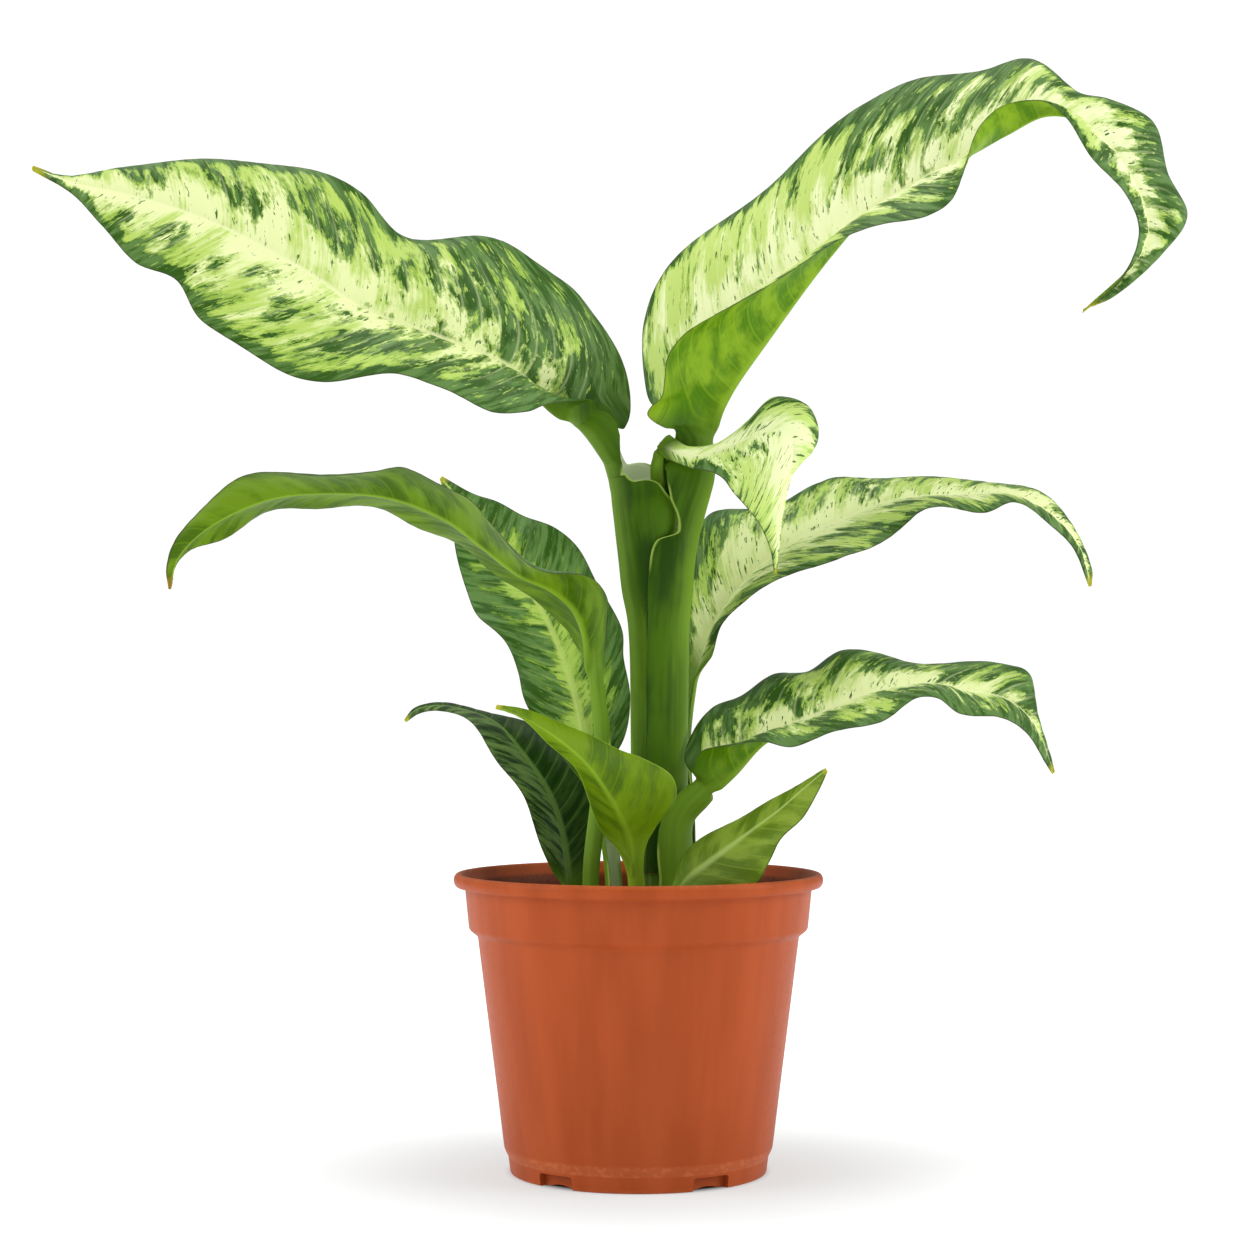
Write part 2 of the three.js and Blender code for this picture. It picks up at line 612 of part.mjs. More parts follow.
    bulge: -0.09,
  },
];

const smooth = (x) => THREE.MathUtils.smoothstep(x, 0, 1);

// Places across a leaf, from the left margin (-1) over the midrib (0) to the right margin (1)
const ACROSS = [...BLADE.columns.slice(1).reverse().map((t) => -t), ...BLADE.columns];

// The stalk's section at one place: an open channel whose back lies on the leaf's centre line
function channel(back, inward, rightward, shape) {
  return ACROSS.map((t) => {
    const angle = radians(Math.abs(t) * (t < 0 ? shape.left : shape.right));
    return back
      .clone()
      .addScaledVector(inward, shape.radius * (1 - Math.cos(angle)))
      .addScaledVector(rightward, Math.sign(t) * shape.radius * Math.sin(angle));
  });
}

// The blade's section at one place: two wings from the midrib to the margins, bulged and waved
function wings(leaf, s, rib, leftEdge, rightEdge, along) {
  const rightward = rightEdge.clone().sub(leftEdge).normalize();
  const upward = rightward.clone().cross(along).normalize();
  const fade = Math.sin(Math.PI * Math.min(1, s * 1.02));
  return ACROSS.map((t) => {
    const reach = (t < 0 ? leftEdge : rightEdge).clone().sub(rib);
    const width = reach.length();
    const share = Math.abs(t);
    const turn = 2 * Math.PI * leaf.wave.count * s + leaf.wave.phase + (t < 0 ? 0 : 1.7);
    const rise =
      leaf.bulge * width * 4 * share * (1 - share) + leaf.wave.height * share ** 2 * fade * Math.sin(turn);
    return rib.clone().addScaledVector(reach, share).addScaledVector(upward, rise);
  });
}

// The leaf's middle surface as rows of points from the foot of the stalk to the tip of the blade,
// with the thickness above and below it at each point
function leafRows(leaf) {
  const stalkEnd = leaf.stalk.length - 1;
  const line = new THREE.CatmullRomCurve3([
    ...leaf.stalk.map((each) => each.at),
    ...swung(leaf.midrib, leaf.swing),
  ]);
  const shapes = new THREE.CatmullRomCurve3(
    leaf.stalk.map((each) => new THREE.Vector3(each.radius, each.left, each.right)),
  );
  const spans = line.points.length - 1;
  line.arcLengthDivisions = spans * 24;
  const lengths = line.getLengths(spans * 24);
  const bladeStart = lengths[stalkEnd * 24] / lengths.at(-1);
  const bladeLength = lengths.at(-1) * (1 - bladeStart);
  const leftLine = new THREE.CatmullRomCurve3(swung(leaf.left, leaf.swing));
  const rightLine = new THREE.CatmullRomCurve3(swung(leaf.right, leaf.swing));
  const outward = new THREE.Vector3(Math.cos(radians(leaf.outward)), Math.sin(radians(leaf.outward)), 0);

  const channelAt = (back, along, shape) => {
    const inward = outward.clone().negate();
    inward.addScaledVector(along, -inward.dot(along)).normalize();
    const rightward = along.clone().cross(inward);
    return channel(back, inward, rightward, shape);
  };

  const rows = [];
  for (let i = 0; i < stalkEnd * BLADE.stalkSteps; i += 1) {
    const along = i / (stalkEnd * BLADE.stalkSteps);
    const place = (along * stalkEnd) / spans;
    const [radius, left, right] = shapes.getPoint(along).toArray();
    const points = channelAt(line.getPoint(place), line.getTangent(place), { radius, left, right });
    rows.push({
      points,
      above: ACROSS.map((t) => BLADE.stalkMargin + leaf.core * (1 - t * t)),
      below: ACROSS.map(() => 0),
    });
  }
  const last = leaf.stalk[stalkEnd];
  const stations = leaf.small ? BLADE.smallStations : BLADE.largeStations;
  for (let i = 0; i <= stations; i += 1) {
    const s = (i / stations) ** BLADE.stationPower;
    const place = bladeStart + s * (1 - bladeStart);
    const along = line.getTangentAt(place);
    const rib = line.getPointAt(place);
    const blade = wings(leaf, s, rib, leftLine.getPointAt(s), rightLine.getPointAt(s), along);
    const stalk = channelAt(rib, along, last);
    const join = smooth((s * bladeLength) / BLADE.joinLength);
    const ribRise = BLADE.ribRise * (1 - s) ** 1.5;
    rows.push({
      points: blade.map((point, j) => stalk[j].lerp(point, join)),
      above: ACROSS.map((t) =>
        THREE.MathUtils.lerp(BLADE.stalkMargin + leaf.core * (1 - t * t), BLADE.halfThickness, join),
      ),
      below: ACROSS.map((t) => join * (BLADE.halfThickness + ribRise * Math.exp(-((t / 0.13) ** 2)))),
    });
  }
  return rows;
}

// The unit normal of the rows' surface at row i, column j, towards the leaf's upper side
function normalAt(rows, i, j) {
  const ahead = rows[Math.min(i + 1, rows.length - 1)].points[j];
  const behind = rows[Math.max(i - 1, 0)].points[j];
  const points = rows[i].points;
  const across = points[Math.min(j + 1, points.length - 1)].clone().sub(points[Math.max(j - 1, 0)]);
  return across.cross(ahead.clone().sub(behind)).normalize();
}

// A closed sheet between two matching grids of points, cut into triangles alike on both faces
function closedSheet(upper, lower) {
  const rows = upper.length;
  const columns = upper[0].length;
  const positions = [...upper.flat(), ...lower.flat()].flatMap((point) => point.toArray());
  const up = (i, j) => i * columns + j;
  const down = (i, j) => rows * columns + i * columns + j;
  const index = [];
  const quad = (a, b, c, d) => index.push(a, b, c, a, c, d);
  for (let i = 0; i < rows - 1; i += 1) {
    for (let j = 0; j < columns - 1; j += 1) {
      quad(up(i, j), up(i, j + 1), up(i + 1, j + 1), up(i + 1, j));
      index.push(down(i, j), down(i + 1, j + 1), down(i, j + 1));
      index.push(down(i, j), down(i + 1, j), down(i + 1, j + 1));
    }
    quad(down(i, columns - 1), down(i + 1, columns - 1), up(i + 1, columns - 1), up(i, columns - 1));
    quad(down(i + 1, 0), down(i, 0), up(i, 0), up(i + 1, 0));
  }
  for (let j = 0; j < columns - 1; j += 1) {
    quad(down(0, j), down(0, j + 1), up(0, j + 1), up(0, j));
    quad(down(rows - 1, j + 1), down(rows - 1, j), up(rows - 1, j), up(rows - 1, j + 1));
  }
  const geometry = new THREE.BufferGeometry();
  geometry.setAttribute("position", new THREE.Float32BufferAttribute(positions, 3));
  geometry.setIndex(index);
  geometry.computeVertexNormals();
  return geometry;
}

function leafMesh(leaf) {
  const rows = leafRows(leaf);
  const upper = rows.map((row, i) =>
    row.points.map((point, j) => point.clone().addScaledVector(normalAt(rows, i, j), row.above[j])),
  );
  const lower = rows.map((row, i) =>
    row.points.map((point, j) => point.clone().addScaledVector(normalAt(rows, i, j), -row.below[j])),
  );
  return namedMesh(leaf.name, closedSheet(upper, lower), leaf.colour, 0.4);
}

// ---------------------------------------------------------------- the whole plant

const plant = new THREE.Group();
plant.add(pot(), soil(LEAVES), cane(), ...LEAVES.map(leafMesh));

export default plant;
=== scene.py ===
"""The looks of a young potted dieffenbachia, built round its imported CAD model.

Ten leaves with sheathing stalks stand round a cane in a terracotta-coloured nursery pot. Sizes are in
millimetres here and turned into metres when a mesh is made. +Z is up and -Y is the front.
"""

import logging
import math
from collections.abc import Sequence
from dataclasses import dataclass, field
from enum import Enum

import bpy
import numpy as np
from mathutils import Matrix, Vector


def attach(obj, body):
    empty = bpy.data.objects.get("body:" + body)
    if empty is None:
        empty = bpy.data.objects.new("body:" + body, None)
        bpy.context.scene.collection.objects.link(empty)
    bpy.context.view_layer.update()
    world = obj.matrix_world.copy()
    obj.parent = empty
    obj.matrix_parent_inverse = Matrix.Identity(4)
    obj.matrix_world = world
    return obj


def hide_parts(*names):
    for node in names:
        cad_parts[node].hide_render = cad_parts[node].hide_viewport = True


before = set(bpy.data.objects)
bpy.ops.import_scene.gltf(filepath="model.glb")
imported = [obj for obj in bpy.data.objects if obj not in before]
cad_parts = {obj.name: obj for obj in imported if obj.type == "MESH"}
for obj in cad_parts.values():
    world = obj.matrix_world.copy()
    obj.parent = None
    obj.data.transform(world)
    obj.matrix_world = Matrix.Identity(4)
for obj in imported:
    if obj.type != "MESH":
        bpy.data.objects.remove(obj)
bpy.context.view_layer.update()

LOG = logging.getLogger("dieffenbachia")
MM = 0.001

Colour = tuple[float, float, float]
Point = tuple[float, float, float]
Faces = list[tuple[int, ...]]

# The place that the plant is looked at from, and what the picture of it measures in pixels
EYE = np.array([-3.7, -865.0, 157.4])
PICTURE_SIDE = 1254
PICTURE_FOCAL_LENGTH = 2653
PICTURE_HORIZON_ROW = 685

CANE_X = 6.9
CANE_Y = 3.0
CANE_TOP = 186.0
CLEARANCE = 0.35
SHEATH_RADIUS = 9.4
LOW_SHEATH_RADIUS = 11.9
LOW_SHEATH_FOOT = 76.0


# ---------------------------------------------------------------------------- lines and places


def seen(x: float, z: float, depth: float) -> Point:
    """Places a point seen at (x, z) on the upright plane through the pot's axis.

    Args:
        x: Its place to the right on that plane.
        z: Its height on that plane.
        depth: How far behind the plane it lies, along its line of sight.

    Returns:
        The point in space.
    """
    on_plane = np.array([x, 0.0, z])
    return tuple(EYE + (on_plane - EYE) * (depth - EYE[1]) / -EYE[1])


def by_cane(azimuth: float, z: float, radius: float = SHEATH_RADIUS) -> Point:
    """Returns a point on a circle round the cane; azimuth 0 is +X and -90 is the front."""
    angle = math.radians(azimuth)
    return (CANE_X + radius * math.cos(angle), CANE_Y + radius * math.sin(angle), z)


def swung(points: Sequence[Point], tip_depth: float) -> np.ndarray:
    """Swings a line back along the lines of sight, more and more towards its tip.

    Args:
        points: The line's points as they are seen: x, z and depth.
        tip_depth: How far its last point moves back.

    Returns:
        The moved points, one a row.
    """
    line = np.array([seen(*point) for point in points])
    walked = np.concatenate([[0.0], np.cumsum(np.linalg.norm(np.diff(line, axis=0), axis=1))])
    depth = (tip_depth * walked / walked[-1])[:, None]
    return EYE + (line - EYE) * (1 + depth / (line[:, 1:2] - EYE[1]))


def unit(vectors: np.ndarray) -> np.ndarray:
    """Returns the vectors scaled to length 1."""
    least = 1e-12
    return vectors / np.maximum(np.linalg.norm(vectors, axis=-1, keepdims=True), least)


def smoothstep(x: np.ndarray) -> np.ndarray:
    """Returns an S-curve that rises from 0 at x = 0 to 1 at x = 1."""
    held = np.clip(x, 0.0, 1.0)
    return held * held * (3 - 2 * held)


class SmoothLine:
    """A smooth curve through points of any number of dimensions, timed by the roots of their chords."""

    SAMPLES_PER_SPAN = 24
    NO_CHORD = 1e-4
    TANGENT_STEP = 1e-4

    def __init__(self, points: np.ndarray) -> None:
        """Lays the curve.

        Args:
            points: The points that it goes through, one a row.
        """
        self.spans = len(points) - 1
        before = 2 * points[0] - points[1]
        after = 2 * points[-1] - points[-2]
        self._padded = np.vstack([before, points, after])
        self._places = np.linspace(0.0, 1.0, self.spans * self.SAMPLES_PER_SPAN + 1)
        steps = np.linalg.norm(np.diff(self.at(self._places), axis=0), axis=1)
        self._walked = np.concatenate([[0.0], np.cumsum(steps)])

    @property
    def length(self) -> float:
        """The curve's length."""
        return float(self._walked[-1])

    def at(self, places: np.ndarray) -> np.ndarray:
        """Works out points on the curve.

        Args:
            places: Numbers between 0 and 1, which give each span the same share.

        Returns:
            The points, one a row.
        """
        where = np.clip(places, 0.0, 1.0) * self.spans
        first = np.minimum(where.astype(int), self.spans - 1)
        w = (where - first)[:, None]
        x0, x1, x2, x3 = (self._padded[first + k] for k in range(4))
        chords = ((x0, x1), (x1, x2), (x2, x3))
        d0, d1, d2 = (np.sqrt(np.linalg.norm(b - a, axis=1))[:, None] for a, b in chords)
        d1 = np.where(d1 < self.NO_CHORD, 1.0, d1)
        d0 = np.where(d0 < self.NO_CHORD, d1, d0)
        d2 = np.where(d2 < self.NO_CHORD, d1, d2)
        start = ((x1 - x0) / d0 - (x2 - x0) / (d0 + d1) + (x2 - x1) / d1) * d1
        end = ((x2 - x1) / d1 - (x3 - x1) / (d1 + d2) + (x3 - x2) / d2) * d1
        bend = 3 * (x2 - x1) - 2 * start - end
        return x1 + start * w + bend * w**2 + (2 * (x1 - x2) + start + end) * w**3

    def tangent(self, places: np.ndarray) -> np.ndarray:
        """Returns the curve's unit direction at places between 0 and 1."""
        ahead = self.at(np.minimum(places + self.TANGENT_STEP, 1))
        return unit(ahead - self.at(np.maximum(places - self.TANGENT_STEP, 0)))

    def place_of(self, shares: np.ndarray) -> np.ndarray:
        """Returns the places that lie at shares of the curve's length."""
        return np.interp(shares * self.length, self._walked, self._places)

    def walked_to(self, places: np.ndarray | float) -> np.ndarray:
        """Returns how far along the curve some places lie."""
        return np.interp(places, self._places, self._walked)


# ---------------------------------------------------------------------------- meshes


def new_mesh(name: str, points: np.ndarray, faces: Faces, smooth: bool = True) -> bpy.types.Object:
    """Makes a mesh object at the origin.

    Args:
        name: The object's name.
        points: The vertices in millimetres, one a row.
        faces: The vertex numbers of each face, anticlockwise from outside.
        smooth: Whether its faces are shaded as one round surface.

    Returns:
        The object, linked to the scene.
    """
    mesh = bpy.data.meshes.new(name)
    mesh.from_pydata((points * MM).tolist(), [], faces)
    mesh.polygons.foreach_set("use_smooth", [smooth] * len(mesh.polygons))
    mesh.update()
    made = bpy.data.objects.new(name, mesh)
    bpy.context.scene.collection.objects.link(made)
    return made


def set_vectors(made: bpy.types.Object, name: str, values: np.ndarray) -> None:
    """Stores one vector on each vertex of an object, under a name that node trees read."""
    attribute = made.data.attributes.new(name, "FLOAT_VECTOR", "POINT")
    attribute.data.foreach_set("vector", values.astype(np.float32).ravel())


def turned(profile: np.ndarray, sides: int) -> tuple[np.ndarray, Faces]:
    """Turns a profile round the Z axis.

    Args:
        profile: Rows of radius and height, from a point on the axis to another, outside to the left.
        sides: The number of steps in a turn.

    Returns:
        The vertices and the faces of a closed body.
    """
    angles = np.arange(sides) * 2 * math.pi / sides
    rings = profile[1:-1]
    ring_points = np.stack(
        [
            rings[:, None, 0] * np.cos(angles),
            rings[:, None, 0] * np.sin(angles),
            np.repeat(rings[:, 1:2], sides, axis=1),
        ],
        axis=-1,
    ).reshape(-1, 3)
    poles = np.array([[0, 0, profile[0, 1]], [0, 0, profile[-1, 1]]])
    first_pole, last_pole = len(ring_points), len(ring_points) + 1
    last_ring = (len(rings) - 1) * sides
    faces: Faces = []
    for j in range(sides):
        k = (j + 1) % sides
        faces.append((first_pole, k, j))
        faces.append((last_pole, last_ring + j, last_ring + k))
        faces += [(i + j, i + k, i + sides + k, i + sides + j) for i in range(0, last_ring, sides)]
    return np.vstack([ring_points, poles]), faces


def rounded(corners: Sequence[tuple[float, float, float]], steps: int = 4) -> np.ndarray:
    """Rounds the corners of a profile.

    Args:
        corners: Radius, height and rounding of each corner; a corner without rounding stays sharp.
        steps: The number of steps in each round corner.

    Returns:
        The profile's points, one a row.
    """
    most_of_a_leg = 0.48
    points = [np.array(corners[0][:2])]
    for before, corner, after in zip(corners, corners[1:], corners[2:]):
        middle = np.array(corner[:2])
        if corner[2] == 0:
            points.append(middle)
            continue
        ends = []
        for neighbour in (before, after):
            leg = np.array(neighbour[:2]) - middle
            reach = min(corner[2], most_of_a_leg * np.linalg.norm(leg))
            ends.append(middle + unit(leg) * reach)
        for u in np.linspace(0, 1, steps + 1):
            points.append((1 - u) ** 2 * ends[0] + 2 * u * (1 - u) * middle + u**2 * ends[1])
    points.append(np.array(corners[-1][:2]))
    return np.array(points)


def evaluated(made: bpy.types.Object) -> bpy.types.Object:
    """Turns an object with modifiers into a plain mesh and takes the modifiers off.

    Args:
        made: The object.

    Returns:
        The same object.
    """
    depsgraph = bpy.context.evaluated_depsgraph_get()
    plain = bpy.data.meshes.new_from_object(
        made.evaluated_get(depsgraph), preserve_all_data_layers=True, depsgraph=depsgraph
    )
    made.modifiers.clear()
    made.data = plain
    return made


def settle(made: bpy.types.Object, nodes: Sequence[str] = ()) -> None:
    """Puts a finished piece on the plant's one body.

    Args:
        made: The piece.
        nodes: The CAD nodes that it stands for.
    """
    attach(made, "root")
    if nodes:
        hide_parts(*nodes)
    LOG.info("%s: %d faces", made.name, len(made.data.polygons))


# ---------------------------------------------------------------------------- node trees


def srgb(red: int, green: int, blue: int) -> Colour:
    """Turns a display colour of 0 to 255 into a linear one."""
    parts = (part / 255 for part in (red, green, blue))
    return tuple(part / 12.92 if part <= 0.04045 else ((part + 0.055) / 1.055) ** 2.4 for part in parts)


class Value:
    """A number in a node tree, which varies over a surface and takes Python's operators."""

    def __init__(self, tree: "NodeTree", socket: bpy.types.NodeSocket) -> None:
        """Wraps an output socket of a tree."""
        self.tree = tree
        self.socket = socket

    def __add__(self, other: "Value | float") -> "Value":
        """Returns this plus other."""
        return self.tree.math("ADD", self, other)

    def __radd__(self, other: float) -> "Value":
        """Returns other plus this."""
        return self.tree.math("ADD", other, self)

    def __sub__(self, other: "Value | float") -> "Value":
        """Returns this minus other."""
        return self.tree.math("SUBTRACT", self, other)

    def __rsub__(self, other: float) -> "Value":
        """Returns other minus this."""
        return self.tree.math("SUBTRACT", other, self)

    def __mul__(self, other: "Value | float") -> "Value":
        """Returns this times other."""
        return self.tree.math("MULTIPLY", self, other)

    def __rmul__(self, other: float) -> "Value":
        """Returns other times this."""
        return self.tree.math("MULTIPLY", other, self)

    def __truediv__(self, other: "Value | float") -> "Value":
        """Returns this divided by other."""
        return self.tree.math("DIVIDE", self, other)

    def __abs__(self) -> "Value":
        """Returns this without its sign."""
        return self.tree.math("ABSOLUTE", self)


ThreeValues = tuple[Value, Value, Value]
Feed = Value | bpy.types.NodeSocket | float | int | str | bool | Sequence[float] | bpy.types.ID


class NodeTree:
    """Makes and links the nodes of one material, world or geometry tree."""

    def __init__(self, tree: bpy.types.NodeTree) -> None:
        """Starts on a tree that holds no nodes."""
        self.tree = tree
        self.tree.nodes.clear()

    def feed(self, socket: bpy.types.NodeSocket, value: Feed) -> None:
        """Links a value to an input socket, or sets the socket to it."""
        if isinstance(value, Value):
            self.tree.links.new(value.socket, socket)
        elif isinstance(value, bpy.types.NodeSocket):
            self.tree.links.new(value, socket)
        elif socket.type == "RGBA":
            socket.default_value = (*value, 1.0)
        else:
            socket.default_value = value

    def node(
        self,
        kind: str,
        settings: dict[str, object] | None = None,
        inputs: dict[str | int, Feed] | None = None,
    ) -> bpy.types.Node:
        """Makes a node.

        Args:
            kind: Blender's name for the node's type.
            settings: Its properties, which are set first.
            inputs: What each input socket takes, by the socket's name or number.

        Returns:
            The node.
        """
        made = self.tree.nodes.new(kind)
        for name, value in (settings or {}).items():
            setattr(made, name, value)
        for key, value in (inputs or {}).items():
            self.feed(made.inputs[key], value)
        return made

    def value(self, node: bpy.types.Node, output: str | int = 0) -> Value:
        """Wraps an output of a node."""
        return Value(self, node.outputs[output])

    def math(self, operation: str, *values: Value | float) -> Value:
        """Returns the result of a Math node on one to three numbers."""
        return self.value(self.node("ShaderNodeMath", {"operation": operation}, dict(enumerate(values))))

    def smooth(self, value: Value, low: float, high: float) -> Value:
        """Returns an S-curve that rises from 0 where value is low to 1 where it is high."""
        inputs = {"Value": value, "From Min": low, "From Max": high}
        return self.value(self.node("ShaderNodeMapRange", {"interpolation_type": "SMOOTHSTEP"}, inputs))

    def fade(self, value: Value, low: float, high: float) -> Value:
        """Returns an S-curve that falls from 1 where value is low to 0 where it is high."""
        return 1 - self.smooth(value, low, high)

    def parts(self, vector: bpy.types.NodeSocket) -> ThreeValues:
        """Splits a vector into its three numbers."""
        split = self.node("ShaderNodeSeparateXYZ", inputs={0: vector})
        return self.value(split, 0), self.value(split, 1), self.value(split, 2)

    def place(self, x: Value | float, y: Value | float, z: Value | float) -> Value:
        """Joins three numbers into a vector."""
        return self.value(self.node("ShaderNodeCombineXYZ", inputs={0: x, 1: y, 2: z}))

    def noise(self, place: Value | bpy.types.NodeSocket, scale: float = 1.0, detail: float = 2.0,
              roughness: float = 0.5, distortion: float = 0.0) -> Value:
        """Returns cloudy noise around 0.5 at a place.

        Args:
            place: The vector that it is read at.
            scale: The number of clouds in a unit of length.
            detail: The number of finer layers.
            roughness: How strong the finer layers are.
            distortion: How far the clouds are pulled out of shape.

        Returns:
            The noise.
        """
        inputs = {"Vector": place, "Scale": scale, "Detail": detail, "Roughness": roughness,
                  "Distortion": distortion}
        return self.value(self.node("ShaderNodeTexNoise", inputs=inputs), "Fac")


class Shading(NodeTree):
    """The node tree of one material with a Principled surface."""

    def __init__(self, name: str) -> None:
        """Makes the material."""
        self.material = bpy.data.materials.new(name)
        self.material.use_nodes = True
        super().__init__(self.material.node_tree)

    def attribute(self, name: str) -> ThreeValues:
        """Reads the three numbers of a vector stored on the mesh."""
        read = self.node("ShaderNodeAttribute", {"attribute_name": name})
        return self.parts(read.outputs["Vector"])

    def object_place(self) -> ThreeValues:
        """Returns the place on the object in millimetres."""
        here = self.node("ShaderNodeTexCoord").outputs["Object"]
        scaled = self.node("ShaderNodeVectorMath", {"operation": "SCALE"}, {0: here, "Scale": 1 / MM})
        return self.parts(scaled.outputs[0])

    def streaks(self, here: ThreeValues, across: float, up: float, detail: float) -> Value:
        """Returns noise that is drawn out up an object.

        Args:
            here: The place on the object.
            across: The clouds in a millimetre of X or Y.
            up: The clouds in a millimetre of Z.
            detail: The number of finer layers.

        Returns:
            The noise, around 0.5.
        """
        x, y, z = here
        return self.noise(self.place(x * across, y * across, z * up), detail=detail)

    def mix(self, share: Value | float, first: Feed, second: Feed) -> bpy.types.NodeSocket:
        """Returns a colour between first and second."""
        made = self.node("ShaderNodeMix", {"data_type": "RGBA"}, {0: share, 6: first, 7: second})
        return made.outputs[2]

    def bump(self, height: Value, depth: float, strength: float = 1.0) -> bpy.types.NodeSocket:
        """Returns a normal bent by a height of 0 to 1 that stands depth millimetres high."""
        inputs = {"Height": height, "Distance": depth * MM, "Strength": strength}
        return self.node("ShaderNodeBump", inputs=inputs).outputs[0]

    def finish(self, **inputs: Feed) -> bpy.types.Material:
        """Closes the tree with a Principled surface.

        Args:
            **inputs: Its sockets, named with _ for a space.

        Returns:
            The material.
        """
        named = {name.replace("_", " "): value for name, value in inputs.items()}
        surface = self.node("ShaderNodeBsdfPrincipled", inputs=named)
        self.node("ShaderNodeOutputMaterial", inputs={"Surface": surface.outputs[0]})
        return self.material


class GeometryTree(NodeTree):
    """A Geometry Nodes tree with named inputs, which starts from a piece's own mesh."""

    KINDS = {float: "NodeSocketFloat", int: "NodeSocketInt", bpy.types.Material: "NodeSocketMaterial",
             bpy.types.Object: "NodeSocketObject"}

    def __init__(self, name: str, inputs: dict[str, float | int | bpy.types.ID]) -> None:
        """Makes the tree.

        Args:
            name: The tree's name.
            inputs: The value of each named input, whose type gives the socket its own.
        """
        super().__init__(bpy.data.node_groups.new(name, "GeometryNodeTree"))
        face = self.tree.interface
        face.new_socket("Geometry", in_out="INPUT", socket_type="NodeSocketGeometry")
        face.new_socket("Geometry", in_out="OUTPUT", socket_type="NodeSocketGeometry")
        self._settings = {}
        for label, value in inputs.items():
            kind = next(kind for base, kind in self.KINDS.items() if isinstance(value, base))
            socket = face.new_socket(label, in_out="INPUT", socket_type=kind)
            self._settings[socket.identifier] = value
        self._start = self.node("NodeGroupInput")

    @property
    def mesh(self) -> bpy.types.NodeSocket:
        """The piece's own mesh."""
        return self._start.outputs["Geometry"]

    def given(self, label: str) -> Value:
        """Returns a named input."""
        return self.value(self._start, label)

    def stored(self, name: str) -> bpy.types.NodeSocket:
        """Reads a vector stored on the mesh."""
        read = self.node("GeometryNodeInputNamedAttribute", {"data_type": "FLOAT_VECTOR"}, {"Name": name})
        return read.outputs["Attribute"]

    def dressed(self, geometry: bpy.types.NodeSocket, material: Value) -> bpy.types.NodeSocket:
        """Returns the geometry as real faces in one material."""
        real = self.node("GeometryNodeRealizeInstances", inputs={0: geometry}).outputs[0]
        return self.node("GeometryNodeSetMaterial", inputs={0: real, "Material": material}).outputs[0]

    def close(self, made: bpy.types.Object, *parts: bpy.types.NodeSocket) -> bpy.types.Object:
        """Ends the tree with the joined parts, and runs it on a piece.

        Args:
            made: The piece, which becomes a plain mesh.
            *parts: The geometry that the piece is made of.

        Returns:
            The piece.
        """
        joined = self.node("GeometryNodeJoinGeometry")
        for part in parts:
            self.tree.links.new(part, joined.inputs[0])
        self.node("NodeGroupOutput", inputs={0: joined.outputs[0]})
        modifier = made.modifiers.new(self.tree.name, "NODES")
        modifier.node_group = self.tree
        for identifier, value in self._settings.items():
            modifier[identifier] = value
        return evaluated(made)


# ---------------------------------------------------------------------------- leaf finishes


class LeafPlace:
    """Where a point lies on its leaf, by the two vectors stored on the mesh. Lengths are in millimetres.

    vein: How far beyond the blade's foot the vein through the point leaves the midrib.
    reach: How far to the right of the midrib the point lies.
    share_along: Its share of the way from the blade's foot to the tip.
    margin: How far it is from the nearer margin.
    blade: 1 on the blade and 0 on the stalk.
    upper: 1 on the upper side and 0 on the underside.
    far: How far from the midrib it lies, to either side.
    share: Its share of the way from the midrib to the margin.
    """

    LEAST_WIDTH = 0.01

    def __init__(self, vein_place: ThreeValues, leaf_zone: ThreeValues) -> None:
        """Names the numbers of the two stored vectors.

        Args:
            vein_place: The vein, the reach and the share along.
            leaf_zone: The margin, the blade and the upper side.
        """
        self.vein, self.reach, self.share_along = vein_place
        self.margin, self.blade, self.upper = leaf_zone
        self.far = abs(self.reach)
        self.share = self.far / (self.far + self.margin + self.LEAST_WIDTH)


@dataclass(frozen=True)
class Clouds:
    """Cloudy noise over a leaf, by the clouds in a millimetre along and across it."""

    along: float
    across: float
    shift: float = 0.0
    detail: float = 2.0
    roughness: float = 0.5
    distortion: float = 0.0

    def over(self, shade: Shading, here: LeafPlace, seed: float) -> Value:
        """Lays the noise over a leaf.

        Args:
            shade: The tree of the leaf's material.
            here: The place on the leaf.
            seed: The leaf's own seed.

        Returns:
            The noise, around 0.5.
        """
        place = shade.place(here.vein * self.along, here.reach * self.across, seed + self.shift)
        return shade.noise(place, detail=self.detail, roughness=self.roughness, distortion=self.distortion)


BLOTCHES = Clouds(along=0.15, across=0.062, detail=7, roughness=0.68, distortion=0.25)
GLOSS = Clouds(along=0.2, across=0.12, shift=2)
STREAKS = Clouds(along=1.1, across=0.05, shift=3, detail=3, roughness=0.6)
DASHES = Clouds(along=0.9, across=0.2, shift=5, detail=3, roughness=0.6)
CREAM_CLOUDS = Clouds(along=0.12, across=0.06, shift=7, detail=4, roughness=0.6)
UNDER_CLOUDS = Clouds(along=0.1, across=0.06, shift=8, detail=4, roughness=0.6)
TONES = Clouds(along=0.34, across=0.1, shift=11, detail=4, roughness=0.6)
STALK_CLOUDS = Clouds(along=0.04, across=0.1, shift=17)
STALK_FIBRES = Clouds(along=0.03, across=0.6, shift=21, detail=3)
EDGE_WANDER = Clouds(along=0.12, across=0.02, shift=31)
PORES = Clouds(along=2.6, across=2.6, detail=3)


class Marbling(Enum):
    """How a leaf's upper side is patterned."""

    CREAM_CENTRE = "cream centre and dark blotches that thicken towards the margins"
    # A darker right half is painted shade.
    GREEN = "plain green in two tones, with a right half that may be darker"


